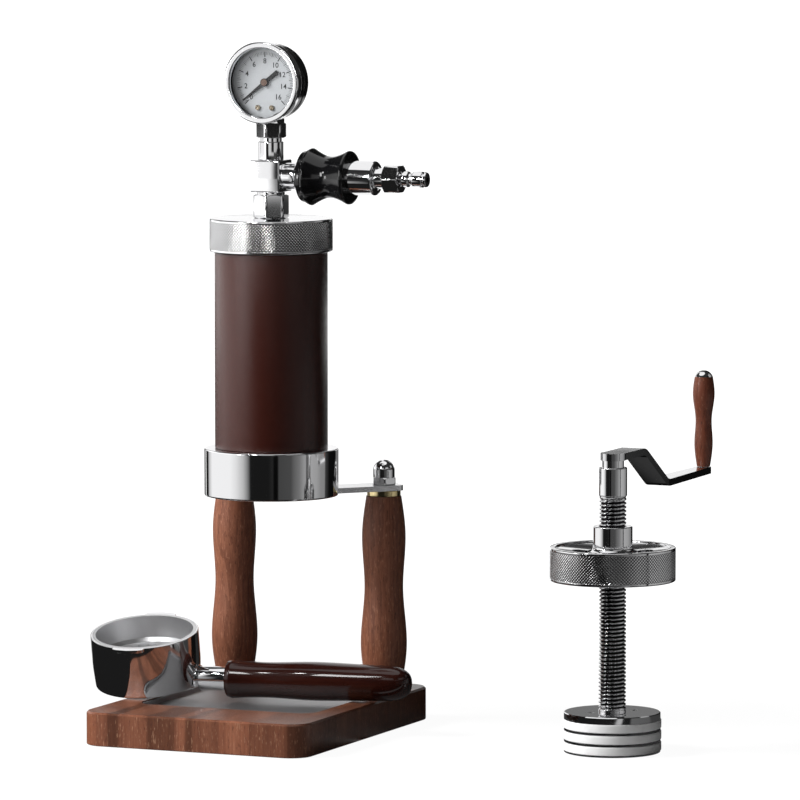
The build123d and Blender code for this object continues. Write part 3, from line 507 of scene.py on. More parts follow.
# Posts: a smooth line through five radii, turned round, with a bore for the tie rod.
def makePosts():
    shape = {"foot": 11.3, "low": 15.0, "waist": 12.6, "high": 14.2, "top": 11.4, "lowAt": 0.22,
        "waistAt": 0.52, "highAt": 0.80, "bore": 4.2, "rows": 90}
    for node in ("post_left", "post_right"):
        spot = uprightOf(node)
        tall = spot["high"] - spot["low"]
        line = smoothLine([
            (shape["foot"], 0), (shape["low"], shape["lowAt"] * tall),
            (shape["waist"], shape["waistAt"] * tall), (shape["high"], shape["highAt"] * tall),
            (shape["top"], tall)], shape["rows"])
        outline = np.vstack([[[shape["bore"], 0]], line, [[shape["bore"], tall]]])
        post = stood(turned(outline, 96, True), spot, spot["low"])
        makePiece(node.replace("post_", "post.turned."), post, postWalnut, "machine", 50, node=node)


def makePostRings():
    ring = {"edge": 0.5, "bore": 4.2}
    low, high = boxOf("post_rings")
    r = (high[1] - low[1]) / 2
    outline = [
        (ring["bore"], low[2]), (r, low[2], ring["edge"]), (r, high[2], ring["edge"]),
        (ring["bore"], high[2])]
    y = (low[1] + high[1]) / 2
    rings = [shifted(bored(outline, 96), x, y) for x in (low[0] + r, high[0] - r)]
    makePiece("post.rings", together(*rings), brass, "machine")


# Dome nuts: a hex base, and a dome with the radius domeR cos(a) at the height middle + domeR sin(a).
def makeDomeNuts():
    nut = {"flats": 14.6, "hexHeight": 4.8, "domeR": 7.15}
    low, high = boxOf("acorn_nuts")
    y = (low[1] + high[1]) / 2
    middle = high[2] - nut["domeR"]
    arc = np.linspace(0, np.pi / 2, 16)
    dome = np.stack([nut["domeR"] * np.cos(arc), middle + nut["domeR"] * np.sin(arc)], -1)
    outline = np.vstack([[[nut["domeR"], low[2] + 2.0]], dome])
    base = hexBar(nut["flats"], low[2], low[2] + nut["hexHeight"], 4.1)
    one = together(base, turned(outline, 96))
    reach = nut["flats"] / math.sqrt(3)
    pair = [shifted(one, x, y) for x in (low[0] + reach, high[0] - reach)]
    makePiece("dome.nuts", together(*pair), chrome, "machine", node="acorn_nuts")


# Collar: its wall goes round as one closed outline whose ledge opens where the lugs go in.
def makeCollar():
    collar = {"ledge": 6.0, "groove": 2.6, "gasket": 7.4, "mouthR": 35.4, "grooveR": 39.0, "tubeR": 33.75,
        "wayIn": 22.6, "edge": 1.2, "steps": 360}
    spot = uprightOf("group_collar")
    e, r, low, high = collar["edge"], spot["r"], spot["low"], spot["high"]
    grooveLow = low + collar["ledge"]
    grooveHigh = grooveLow + collar["groove"]
    seat = grooveHigh + collar["gasket"]
    outline = [
        (r, low, e), (r, high, e), (collar["tubeR"], high), (collar["tubeR"], seat), (collar["mouthR"], seat),
        (collar["mouthR"], grooveHigh), (collar["grooveR"], grooveHigh), (collar["grooveR"], grooveLow),
        (collar["mouthR"], grooveLow), (collar["mouthR"], low)]
    points, quads = bored(outline, collar["steps"])
    radius = np.hypot(points[:, 0], points[:, 1])
    lip = (np.abs(radius - collar["mouthR"]) < 0.01) & (points[:, 2] < grooveLow + 0.01)
    inWay = lip & (np.abs(points[:, 1]) < collar["wayIn"] / 2)
    points[inWay, :2] *= (collar["grooveR"] / collar["mouthR"])
    makePiece("group.collar", stood((points, quads), spot), chrome, "machine")


def makeSleeve():
    spot = uprightOf("chamber_sleeve")
    sleeve = {"wall": 2.6, "edge": 0.7}
    r = spot["r"]
    outline = [
        (r - sleeve["wall"], spot["low"]), (r, spot["low"], sleeve["edge"]),
        (r, spot["high"], sleeve["edge"]), (r - sleeve["wall"], spot["high"])]
    makePiece("chamber.sleeve", stood(bored(outline, 160), spot), leather, "machine")


# Knurl band: r - depth * (1 - min(1, steep * min(tri(a), tri(b)))), where a and b grow round the
# band at the same rate and along it at opposite rates, and tri goes 0, 1, 0 over each turn, so that
# flat diamonds stand between narrow grooves; it fades at both ends.
def knurlBand(r, low, high, knurl):
    count = round(2 * math.pi * r / knurl["pitch"])
    columns = count * knurl["samples"]
    rows = int((high - low) / knurl["pitch"] * knurl["samples"]) + 1
    z = np.linspace(low, high, rows)[:, None]
    about = np.arange(columns)[None, :] / columns * count
    up = (z - low) / knurl["pitch"] * knurl["slant"]
    tri = [1 - np.abs(2 * (phase % 1.0) - 1) for phase in (about + up, about - up)]
    fade = np.clip(np.minimum(z - low, high - z) / knurl["fade"], 0, 1)
    crest = np.minimum(knurl["steep"] * np.minimum(*tri), 1)
    wall = r - knurl["depth"] * (1 - crest) * fade * np.ones((1, columns))
    inner = np.full((1, columns), r - 3 * knurl["depth"])
    radius = np.vstack([inner, wall, inner])
    height = np.vstack([[[low]], z, [[high]]]) * np.ones((1, columns))
    return roundGrid(radius, height, True)


knurl = {"pitch": 2.1, "samples": 8, "slant": 1.0, "depth": 0.22, "steep": 3.4, "fade": 0.3, "rim": 1.7}


# Knurl finish: the grooved plating, with painted shade in its grooves.
def knurled(name, spot, top):
    return grooved(name, spot, spot["r"], knurl["depth"], spot["low"] + knurl["rim"], top - knurl["rim"],
        (0.1, 0.5))


# Skirt and roof of a cap as one outline, with a shallow bed for the knurl.
def capOutline(spot, roof, tubeR, top):
    r, low, high = spot["r"], spot["low"], spot["high"]
    bed = r - 2 * knurl["depth"]
    return [
        (tubeR, low, 0.3), (r, low, 0.9), (r, low + knurl["rim"], 0.15), (bed, low + knurl["rim"]),
        (bed, high - knurl["rim"]), (r, high - knurl["rim"], 0.15),
        (r, high, 0.9)] + top + [(tubeR, high - roof)]


def makeHeadCap():
    cap = {"roof": 6.0, "tubeR": 34.0, "boreR": 8.0}
    spot = uprightOf("head_cap")
    top = [(cap["boreR"], spot["high"]), (cap["boreR"], spot["high"] - cap["roof"])]
    body = bored(capOutline(spot, cap["roof"], cap["tubeR"], top), 192)
    band = knurlBand(spot["r"], spot["low"] + knurl["rim"], spot["high"] - knurl["rim"], knurl)
    makePiece("head.cap", stood(together(body, band), spot), knurled("headKnurl", spot, spot["high"]),
        "air_head", crease=25)


def makeAdapter():
    hexNut = {"flats": 20.5, "height": 15.2, "stubR": 8.0, "shoulderR": 9.0, "turn": 35.5, "bore": 2.5}
    low, high = boxOf("inlet_adapter")
    x, y = (low[:2] + high[:2]) / 2
    capTop = boxOf("head_cap")[1][2]
    nut = hexBar(hexNut["flats"], capTop, capTop + hexNut["height"], hexNut["bore"])
    shoulder = bored([
        (hexNut["bore"], capTop + hexNut["height"]), (hexNut["shoulderR"], capTop + hexNut["height"]),
        (hexNut["shoulderR"], high[2], 0.3), (hexNut["bore"], high[2])], 64)
    stub = bored([
        (hexNut["bore"], low[2]), (hexNut["stubR"], low[2]), (hexNut["stubR"], capTop),
        (hexNut["bore"], capTop)], 64)
    place = Matrix.Translation((x, y, 0)) @ turnBy(hexNut["turn"])
    makePiece("inlet.adapter", moved(together(nut, shoulder, stub), place), chrome, "air_head")


def makeTee():
    low, high = boxOf("tee_block")
    x, y = (low[:2] + high[:2]) / 2
    side = high[0] - low[0]
    block = slab(side, side, 1.0, low[2], high[2], 0.9)
    makePiece("tee.block", shifted(block, x, y), chrome, "air_head", crease=30)


def makeRiser():
    riser = {"r": 8.2, "neckR": 7.2, "neck": 2.4, "edge": 0.6, "bore": 2.5}
    spot = uprightOf("gauge_riser")
    shoulder = spot["high"] - riser["neck"]
    outline = [
        (riser["bore"], spot["low"]), (riser["r"], spot["low"], 0.3), (riser["r"], shoulder, riser["edge"]),
        (riser["neckR"], shoulder), (riser["neckR"], spot["high"]), (riser["bore"], spot["high"])]
    makePiece("gauge.riser", stood(bored(outline, 96), spot), chrome, "air_head")


def makeGaugeNut():
    nut = {"flats": 17.4, "turn": 32.0, "bore": 4.1}
    low, high = boxOf("gauge_nut")
    x, y = (low[:2] + high[:2]) / 2
    place = Matrix.Translation((x, y, 0)) @ turnBy(nut["turn"])
    makePiece("gauge.nut", moved(hexBar(nut["flats"], low[2], high[2], nut["bore"]), place), chrome,
        "air_head")


def gaugePlace():
    low, high = boxOf("gauge_bezel")
    column = uprightOf("head_cap")
    middle = Vector(((low[0] + high[0]) / 2, column["y"], (low[2] + high[2]) / 2))
    return Matrix.Translation(middle) @ turnBy(90, "X")


gauge = {"front": 15.7, "back": 5.5, "caseR": 24.6, "caseWall": 1.2, "bezelR": 26.2, "bezelDepth": 6.2,
    "lip": 1.6, "windowR": 22.0, "glass": 1.8, "dialDrop": 5.0, "zero": 225.0, "sweep": 270.0, "most": 16}


def makeGaugeShell():
    front, back, r = gauge["front"], gauge["back"], gauge["bezelR"]
    glassTop = front - gauge["lip"]
    caseFront = glassTop - gauge["glass"] - 0.2
    bezel = [
        (gauge["caseR"], front - gauge["bezelDepth"]), (r, front - gauge["bezelDepth"], 0.5),
        (r, front - 0.4, 0.4), (r - 0.7, front, 0.3), (gauge["windowR"] + 0.7, front, 0.4),
        (gauge["windowR"], glassTop), (gauge["caseR"], glassTop)]
    makePiece("gauge.bezel", moved(bored(bezel, 160), gaugePlace()), chrome, "air_head")
    seam = {"low": 1.2, "high": 1.9, "deep": 0.25, "ease": 0.15}
    r, ease = gauge["caseR"], seam["ease"]
    inner = r - gauge["caseWall"]
    case = rounded([
        (0, -back), (r, -back, 2.0), (r, seam["low"], ease), (r - seam["deep"], seam["low"] + ease, 0.1),
        (r - seam["deep"], seam["high"] - ease, 0.1), (r, seam["high"], ease), (r, caseFront),
        (inner, caseFront), (inner, gauge["caseWall"] - back), (0, gauge["caseWall"] - back)])
    makePiece("gauge.case", moved(turned(case, 160), gaugePlace()), blackGloss, "air_head")


# A flat bar from one radius to another, turned to an angle.
def tick(fromR, toR, width, degrees, low, high):
    a = math.radians(degrees)
    along, across = np.array([math.cos(a), math.sin(a)]), np.array([-math.sin(a), math.cos(a)])
    flat = [along * fromR - across * width / 2, along * toR - across * width / 2,
            along * toR + across * width / 2, along * fromR + across * width / 2]
    points = np.array([[*p, low] for p in flat] + [[*p, high] for p in flat])
    quads = np.array([[3, 2, 1, 0], [4, 5, 6, 7], [0, 1, 5, 4], [1, 2, 6, 5], [2, 3, 7, 6], [3, 0, 4, 7]])
    return points, quads


def makeScale():
    face = gauge["front"] - gauge["dialDrop"] - gauge["lip"]
    scale = {"outer": 19.7, "fine": 17.6, "unit": 17.0, "figure": 16.3, "fineWidth": 0.20,
        "unitWidth": 0.34, "figureWidth": 0.62, "perUnit": 5, "thick": 0.06}
    ticks = []
    every = scale["perUnit"]
    for k in range(gauge["most"] * every + 1):
        degrees = gauge["zero"] - gauge["sweep"] * k / (gauge["most"] * every)
        kind = "figure" if k % (2 * every) == 0 else "unit" if k % every == 0 else "fine"
        ticks.append(tick(scale[kind], scale["outer"], scale[kind + "Width"], degrees, face,
            face + scale["thick"]))
    makePiece("dial.ticks", moved(together(*ticks), gaugePlace()), printBlack, "air_head",
        30, node=())
    makeFigures(face)


# The scale's plain figures, as text turned into a mesh and laid on the dial.
def makeFigures(face):
    figure = {"size": 4.7, "oneR": 13.6, "twoR": 13.2, "thick": 0.05, "bold": 0.06}
    for value in range(0, gauge["most"] + 1, 2):
        words = bpy.data.curves.new(f"figure{value}", "FONT")
        words.body = str(value)
        words.size = figure["size"] * mm
        words.align_x, words.align_y = "CENTER", "CENTER"
        words.extrude = figure["thick"] * mm / 2
        words.offset = figure["bold"] * mm
        words.resolution_u = 3
        holder = newObject("words", words)
        bpy.context.view_layer.update()
        mesh = bpy.data.meshes.new_from_object(holder.evaluated_get(bpy.context.evaluated_depsgraph_get()))
        bpy.data.objects.remove(holder)
        r = figure["twoR" if value > 9 else "oneR"]
        a = math.radians(gauge["zero"] - gauge["sweep"] * value / gauge["most"])
        inFrame = Matrix.Scale(mm, 4)
        there = gaugePlace() @ Matrix.Translation((r * math.cos(a), r * math.sin(a),
            face + figure["thick"] / 2))
        mesh.transform(inFrame @ there @ Matrix.Scale(1 / mm, 4))
        dress(newObject(f"dial.figure.{value}", mesh), printBlack, "air_head", (), 30)


# How far from the tee's middle a node of the valve starts and ends.
def alongValve(node):
    teeLow, teeHigh = boxOf("tee_block")
    middle = (teeLow[0] + teeHigh[0]) / 2
    low, high = boxOf(node)
    return low[0] - middle, high[0] - middle


def outletPlace():
    low, high = boxOf("tee_block")
    middle = (low + high) / 2
    return Matrix.Translation(middle) @ turnBy(90, "Y")


def makeValve():
    valve = {"nippleR": 8.6, "collarR": 7.4, "collar": 4.2, "r": 11.0, "neckR": 6.7, "neck": 6.6, "bore": 2.5}
    start, end = alongValve("valve_nipple")
    shoulder = end - valve["collar"]
    nipple = [
        (valve["bore"], start), (valve["nippleR"], start, 0.4), (valve["nippleR"], shoulder, 1.1),
        (valve["collarR"], shoulder, 0.2), (valve["collarR"], end), (valve["bore"], end)]
    makePiece("valve.nipple", moved(bored(nipple, 96), outletPlace()), chrome, "air_head")
    start, end = alongValve("valve_barrel")
    wide = end - valve["neck"]
    barrel = [
        (valve["bore"], start), (valve["r"], start, 0.4), (valve["r"], wide, 1.4),
        (valve["neckR"] + 1.2, wide, 0.3), (valve["neckR"], wide + 0.6, 0.3), (valve["neckR"], end),
        (valve["bore"], end)]
    makePiece("valve.barrel", moved(bored(barrel, 128), outletPlace()), chrome, "air_head")


# Hourglass sleeve: two lipped flanges, a smooth waist and a groove inside the first lip.
def makeSpool():
    spool = {"endR": 16.7, "firstR": 18.35, "waistR": 13.3, "lastR": 17.25, "boreR": 11.08, "firstAt": 0.17,
        "waistAt": 0.555, "lastAt": 0.95, "ring": 3.2, "groove": 0.5}
    start, end = alongValve("valve_sleeve")
    long = end - start
    waist = smoothLine([
        (spool["firstR"], spool["firstAt"] * long), (spool["waistR"], spool["waistAt"] * long),
        (spool["lastR"], spool["lastAt"] * long)], 40)
    ring, floor = spool["ring"], spool["endR"] - spool["groove"]
    before = rounded([
        (spool["boreR"], 0), (spool["endR"] - 0.36, 0, 0.6), (spool["endR"], ring, 0.3),
        (floor, ring + 0.2, 0.1), (floor, ring + 0.5, 0.1), (spool["endR"] + 1.1, ring + 0.8, 0.4),
        (spool["firstR"], spool["firstAt"] * long)])
    after = rounded([
        (spool["lastR"], spool["lastAt"] * long), (spool["lastR"] - 0.3, 0.99 * long, 0.6),
        (spool["lastR"] - 1.6, long, 0.4), (spool["boreR"], long)])
    outline = np.vstack([before[:-1], waist, after[1:]])
    makePiece("valve.sleeve", moved(shifted(turned(outline, 160, True), 0, 0, start), outletPlace()),
        blackGloss, "slide_sleeve", 60)


def makeOutlet():
    outlet = {"flats": 17.1, "bore": 1.8, "turn": 30.0}
    nut = hexBar(outlet["flats"], *alongValve("outlet_hex"), outlet["bore"])
    turn = turnBy(outlet["turn"])
    makePiece("outlet.hex", moved(nut, outletPlace() @ turn), chrome, "air_head")
    plug = {"r": 5.1, "groove": 3.9, "bore": 1.8}
    x, end = alongValve("hose_plug")
    r, g = plug["r"], plug["groove"]
    outline = [
        (plug["bore"], x), (g, x), (g, x + 0.7, 0.1), (r, x + 1.1, 0.3), (r, x + 5.0, 0.5),
        (g, x + 6.2, 0.4), (g, x + 7.6, 0.4), (r, x + 8.8, 0.4), (r, end - 2.9, 0.3), (g, end - 2.6, 0.1),
        (g, end - 1.7, 0.1), (r - 0.2, end - 1.4, 0.2), (r - 0.5, end, 0.4), (plug["bore"], end)]
    makePiece("hose.plug", moved(bored(outline, 96), outletPlace()), chrome, "air_head", crease=50)


filterLay = {"x": -75.4, "y": -6.9, "turn": 7.4, "roll": 11.7, "lift": 0.3, "cupBelow": 3.7,
    "cupFootR": 33.9, "handleRest": 11.9, "contact": 140.0}


# Where the handle's axis crosses the cup's, from the height of the board's top.
def filterPlace():
    roll = math.radians(filterLay["roll"])
    cupHeight = filterLay["lift"] + filterLay["cupBelow"] * math.cos(roll)
    cupHeight += filterLay["cupFootR"] * math.sin(roll)
    handleHeight = filterLay["lift"] + filterLay["handleRest"]
    tilt = math.asin((cupHeight - handleHeight) / filterLay["contact"])
    boardTop = boxOf("base_board")[1][2]
    spot = Matrix.Translation((filterLay["x"], filterLay["y"], boardTop + cupHeight))
    for angle, axis in ((math.radians(filterLay["turn"]), "Z"), (tilt, "Y"), (roll, "X")):
        spot = spot @ Matrix.Rotation(angle, 4, axis)
    return spot


cup = {"r": 35.0, "footR": 33.9, "height": 34.5, "below": 3.7, "wall": 2.2, "floorR": 26.0, "floor": 2.0,
       "rimR": 33.75, "rimDrop": 1.35, "lugWidth": 21.0, "lugReach": 3.7, "lugThick": 2.0, "flareR": 8.8,
       "rootR": 8.0, "root": 1.5}


def makeCup():
    low = -cup["below"]
    top = low + cup["height"]
    inner = cup["r"] - cup["wall"]
    outline = [
        (cup["floorR"], low, 0.3), (cup["footR"], low, 1.5), (cup["r"], low + 0.4 * cup["height"], 3.0),
        (cup["r"], top, 0.5), (cup["rimR"], top), (cup["rimR"], top - cup["rimDrop"]),
        (inner, top - cup["rimDrop"]), (inner, low + 5.0, 1.5), (inner - 3.0, low + cup["floor"], 0.5),
        (cup["floorR"], low + cup["floor"], 0.3)]
    shell = bored(outline, 192)
    lugLow = top - cup["lugThick"]
    lugs = [lug(cup["r"] - 0.8, cup["r"] + cup["lugReach"], cup["lugWidth"], lugLow, top - 0.02,
        turn) for turn in (90, 270)]
    start, end = cup["r"] - 1.5, cup["r"] + cup["root"]
    root = turned(rounded([
        (0, start), (cup["flareR"], start), (cup["flareR"], cup["r"] - 0.2, 0.3), (cup["rootR"], end, 0.3),
        (0, end)]), 96)
    root = moved(root, turnBy(90, "Y"))
    root[0][:, 2] = np.maximum(root[0][:, 2], low + 0.3)
    makePiece("portafilter.cup", moved(together(shell, *lugs, root), filterPlace()), chrome, "portafilter")


# A lug: a ring's sector with rounded outer corners; its half width shrinks towards the outside as
# width / 2 * sqrt(1 - (reach / all)^8), and its edges are eased.
def lug(fromR, toR, width, low, high, turn):
    rows, columns = 14, 25
    s = np.linspace(0, 1, rows)
    r = fromR + (toR - fromR) * s
    half = width / 2 * np.sqrt(np.maximum(1 - s ** 8, 0.0))
    across = np.linspace(-1, 1, columns)
    a = half[:, None] * across / r[:, None]
    x, y = r[:, None] * np.cos(a), r[:, None] * np.sin(a)
    upper = np.stack([x, y, high + 0 * x], -1)
    lower = np.stack([x, y, low + 0 * x], -1)
    points = np.concatenate([upper.reshape(-1, 3), lower.reshape(-1, 3)])
    quads = gridQuads(rows, columns, False, False)
    rim = np.concatenate([
        np.arange(columns), columns * np.arange(1, rows) + columns - 1,
        (rows - 1) * columns + np.arange(columns - 2, -1, -1), columns * np.arange(rows - 2, 0, -1)])
    nextRim = np.roll(rim, -1)
    below = rows * columns
    walls = np.stack([rim, nextRim, nextRim + below, rim + below], -1)
    quads = np.vstack([quads, quads[:, ::-1] + below, walls])
    return moved((points, quads), turnBy(turn))


def makeNeck():
    neck = {"r": 8.0, "end": 54.7, "start": 36.5, "bore": 4.1}
    end = neck["end"]
    outline = [
        (neck["bore"], neck["start"]), (neck["r"], neck["start"], 0.2), (neck["r"], end, 0.4),
        (neck["bore"], end)]
    place = filterPlace() @ turnBy(90, "Y")
    makePiece("portafilter.neck", moved(bored(outline, 96), place), chrome, "portafilter")


# Handle: a smooth line from the front lip to the round tail, turned about the handle's axis.
def makeHandle():
    handle = {"start": 54.7, "long": 122.5, "lipR": 11.6, "startR": 12.5, "dipR": 11.5, "r": 12.5,
        "restR": 11.9, "dipAt": 0.18, "rAt": 0.45, "restAt": 0.7, "lip": 3, "bore": 4.1, "boreEnd": 79.0,
        "tailR": 11.4, "tail": [(1.0, 0.85), (0.76, 0.965), (0.55, 0.988), (0.28, 0.998)]}
    s, long, lip = handle["start"], handle["long"], handle["start"] + handle["lip"]
    tail = [(share * handle["tailR"], s + at * long) for share, at in handle["tail"]]
    line = smoothLine([
        (handle["startR"], lip), (handle["dipR"], s + handle["dipAt"] * long),
        (handle["r"], s + handle["rAt"] * long), (handle["restR"], s + handle["restAt"] * long), *tail,
        (0.01, s + long)], 130)
    front = rounded([
        (handle["bore"], s), (handle["lipR"], s, 0.8), (handle["lipR"] + 0.4, s + 1.2, 0.6),
        (handle["startR"], lip)])
    outline = np.vstack([[[0, handle["boreEnd"]]], [[handle["bore"], handle["boreEnd"]]], front[:-1], line])
    place = filterPlace() @ turnBy(90, "Y")
    makePiece("portafilter.handle", moved(turned(outline, 128), place), lacquer, "portafilter",
        60)


def makePiston():
    piston = {"r": 30.5, "coreR": 24.5, "land": 1.7, "foot": 1.3, "seal": 5.4, "sealR": 31.05, "play": 0.02,
        "pocketR": 11.5, "pocket": 6.2}
    spot = uprightOf("piston_body")
    low = spot["low"]
    pitch = piston["seal"] + piston["land"]
    corners = [(0, low), (piston["r"], low, 0.5), (piston["r"], low + piston["foot"], 0.2),
        (piston["coreR"], low + piston["foot"])]
    for k in (1, 2):
        land = low + piston["foot"] + k * pitch - piston["land"]
        corners += [(piston["coreR"], land), (piston["r"], land, 0.3),
            (piston["r"], land + piston["land"], 0.3), (piston["coreR"], land + piston["land"])]
    high, floor = spot["high"], spot["high"] - piston["pocket"]
    corners += [(piston["coreR"], high), (piston["pocketR"], high), (piston["pocketR"], floor), (0, floor)]
    makePiece("piston.body", stood(turned(rounded(corners), 128), spot), darkChrome, "press_piston")
    rings = []
    for k in range(3):
        at = low + piston["foot"] + k * pitch
        start, end = at + piston["play"], at + piston["seal"] - piston["play"]
        rings.append(bored([
            (piston["coreR"], start), (piston["sealR"], start, 0.7), (piston["sealR"], end, 0.7),
            (piston["coreR"], end)], 128))
    makePiece("piston.seals", stood(together(*rings), spot), sealWhite, "press_piston")


# Screw: the shank's outline turned round, with a helical groove cut into it. Over one pitch
# the radius has a flat crest, a slope, a flat root and a slope, and this wave climbs one pitch a turn.
def makeScrew():
    screw = {"pitch": 2.5, "depth": 1.15, "crest": 0.26, "root": 0.2, "perPitch": 12, "steps": 64,
        "runOut": 3.0, "r": 8.6, "shankR": 9.0, "shank": 17.9, "neckR": 7.0, "neck": 4.5, "spigotR": 5.0,
        "thrustR": 11.4, "thrust": 6.0, "plain": 5.0, "crank": 4.5}
    spot = uprightOf("press_screw")
    low, high = spot["low"], spot["high"]
    neckLow = high - screw["crank"] - screw["neck"]
    shankLow = neckLow - screw["shank"]
    threadLow = low + screw["thrust"]
    rows = int((shankLow - threadLow) / screw["pitch"] * screw["perPitch"])
    z = np.linspace(threadLow, shankLow, rows)[:, None]
    turn = np.arange(screw["steps"])[None, :] / screw["steps"]
    phase = (z / screw["pitch"] - turn) % 1.0
    slope = (1 - screw["crest"] - screw["root"]) / 2
    wave = np.clip((np.abs(phase - 0.5) - screw["root"] / 2) / slope, 0, 1)
    fade = np.clip(np.minimum(z - threadLow - screw["plain"], shankLow - z) / screw["runOut"], 0, 1)
    radius = screw["r"] - screw["depth"] * (1 - wave) * fade
    foot = np.array([[0, low], [screw["thrustR"], low], [screw["thrustR"], threadLow],
        [screw["r"], threadLow]])
    head = rounded([
        (screw["r"], shankLow), (screw["shankR"], shankLow, 0.6), (screw["shankR"], neckLow, 0.7),
        (screw["neckR"], neckLow), (screw["neckR"], neckLow + screw["neck"]),
        (screw["spigotR"], neckLow + screw["neck"]), (screw["spigotR"], high), (0, high)])
    around = np.ones((1, screw["steps"]))
    # The thread's grooves carry painted shade from grooved.
    finish = grooved("thread", spot, screw["r"], screw["depth"], threadLow, shankLow, (0.3, 0.8))
    allR = np.vstack([foot[:, :1] * around, radius, head[:, :1] * around])
    allZ = np.vstack([foot[:, 1:] * around, z * around, head[:, 1:] * around])
    makePiece("press.screw", stood(roundGrid(allR, allZ), spot), finish, "press_crank", crease=32)


def makePressCap():
    cap = {"high": 21.3, "roof": 6.0, "tubeR": 34.0, "rim": 2.6, "dish": 3.2, "bossR": 12.5, "nutR": 8.68,
        "ventR": 6.6, "ventCircle": 19.0, "ventAngle": 23.0}
    spot = uprightOf("press_cap")
    skirt = {**spot, "high": spot["low"] + cap["high"]}
    top, boss = skirt["high"], spot["high"]
    inner = spot["r"] - 1.0 - cap["rim"]
    crown = [(inner, top, 0.5), (inner - 0.4, top - 1.1, 0.4), (cap["bossR"] + 3.2, top - cap["dish"], 1.6),
        (cap["bossR"], top - cap["dish"] + 1.8, 1.4), (cap["bossR"], boss, 0.8), (cap["nutR"], boss, 0.3),
        (cap["nutR"], top - cap["roof"])]
    body = bored(capOutline(skirt, cap["roof"], cap["tubeR"], crown), 192)
    band = knurlBand(spot["r"], spot["low"] + knurl["rim"], top - knurl["rim"], knurl)
    shell = makePiece("press.cap", stood(body, spot), chrome, "press_cap")
    for turn in (cap["ventAngle"], cap["ventAngle"] + 180):
        a = math.radians(turn)
        drill = turned(np.array([[0, spot["low"]], [cap["ventR"], spot["low"]], [cap["ventR"], boss],
            [0, boss]]), 64)
        cutAway(shell, shifted(drill, spot["x"] + cap["ventCircle"] * math.cos(a),
            spot["y"] + cap["ventCircle"] * math.sin(a)))
    smooth(shell, 40)
    makePiece("press.cap.knurl", stood(band, spot), knurled("pressKnurl", spot, top), "press_cap",
        crease=25, node=())


# Cuts one surface out of a piece's mesh and keeps the result.
def cutAway(piece, surface):
    points, quads = surface
    mesh = bpy.data.meshes.new("drill")
    mesh.from_pydata((points * mm).tolist(), [], quads.tolist())
    clean(mesh)
    drill = newObject("drill", mesh)
    cut = piece.modifiers.new("cut", "BOOLEAN")
    cut.operation, cut.solver, cut.object = "DIFFERENCE", "EXACT", drill
    bpy.context.view_layer.update()
    result = bpy.data.meshes.new_from_object(piece.evaluated_get(bpy.context.evaluated_depsgraph_get()))
    piece.modifiers.clear()
    piece.data = result
    bpy.data.objects.remove(drill)


# Grip: a smooth line turned round, with a wider mouth above its bore. The dome on it is a cap of a
# ball whose radius is (r^2 + rise^2) / (2 rise).
def makeGrip():
    grip = {"foot": 4.3, "low": 6.0, "waist": 5.3, "high": 7.1, "top": 5.9, "bore": 3.2, "mouth": 1.6,
        "mouthDepth": 6, "lowAt": 0.27, "waistAt": 0.54, "highAt": 0.8}
    spot = uprightOf("crank_grip")
    tall = spot["high"] - spot["low"]
    line = smoothLine([
        (grip["foot"], 0), (grip["low"], grip["lowAt"] * tall), (grip["waist"], grip["waistAt"] * tall),
        (grip["high"], grip["highAt"] * tall), (grip["top"], tall)], 60)
    mouthR, mouthLow = grip["bore"] + grip["mouth"], tall - grip["mouthDepth"]
    outline = np.vstack([[[grip["bore"], 0]], line, [[mouthR, tall], [mouthR, mouthLow],
        [grip["bore"], mouthLow]]])
    makePiece("crank.grip", stood(turned(outline, 80, True), spot, spot["low"]), gripWood, "crank_grip",
        60)
    dome = uprightOf("grip_dome")
    domeR, rise, stemR = dome["r"], 4.2, 4.7
    ball = (domeR ** 2 + rise ** 2) / (2 * rise)
    arc = np.linspace(math.asin(domeR / ball), 0, 14)
    cap = np.stack([ball * np.sin(arc), dome["high"] - ball + ball * np.cos(arc)], -1)
    outline = np.vstack([[[0, dome["low"]], [stemR, dome["low"]], [stemR, dome["high"] - rise]], cap])
    makePiece("grip.dome", stood(turned(outline, 80), dome), chrome, "crank_grip")


def finishNodes():
    shown = {
        "base_board": boardWalnut, "drip_tray": trayMetal, "tie_rods": steelTube, "foot_washers": steelTube,
        "foot_nuts": steelTube, "arm_right": brushed, "arm_left": brushed, "group_gasket": rubber,
        "chamber_tube": steelTube, "shower_screen": steel, "head_gasket": rubber, "gauge_socket": chrome,
        "gauge_glass": glassClear, "gauge_dial": dialWhite, "dial_screws": screwBrassAndShade, "bourdon_tube": brass,
        "gauge_movement": brass, "gauge_needle": needleFinish(), "valve_seals": rubber,
        "handle_stud": steelTube, "filter_basket": basketSteel, "piston_plate": chrome,
        "plate_screws": steelTube, "crank_arm": polished, "grip_pin": steelTube}
    for node, finish in shown.items():
        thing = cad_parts[node]
        thing.data.materials.clear()
        thing.data.materials.append(finish)


print("stand")
makePosts()
makePostRings()
makeDomeNuts()
makeCollar()
makeSleeve()
print("air head")
makeHeadCap()
makeAdapter()
makeTee()
makeRiser()
makeGaugeNut()
makeGaugeShell()
makeScale()
makeValve()
makeSpool()
makeOutlet()
print("portafilter")
makeCup()
makeNeck()
makeHandle()
print("press")
makePiston()
makeScrew()
makePressCap()
makeGrip()
finishNodes()


camera = {"turn": 23.56, "pitch": 5.44, "lens": 309.5, "away": 4.4105, "side": 0.09121, "height": 0.21425}
turn, pitch = math.radians(camera["turn"]), math.radians(camera["pitch"])
cameraRight = Vector((math.cos(turn), math.sin(turn), 0))
cameraBack = Vector((math.sin(turn) * math.cos(pitch), -math.cos(turn) * math.cos(pitch), math.sin(pitch)))
towardsCamera = Vector((math.sin(turn), -math.cos(turn), 0))
middle = Vector((0.0, 0.021, 0.2))  # on the column's axis: lamps, cloth and cards stand round it


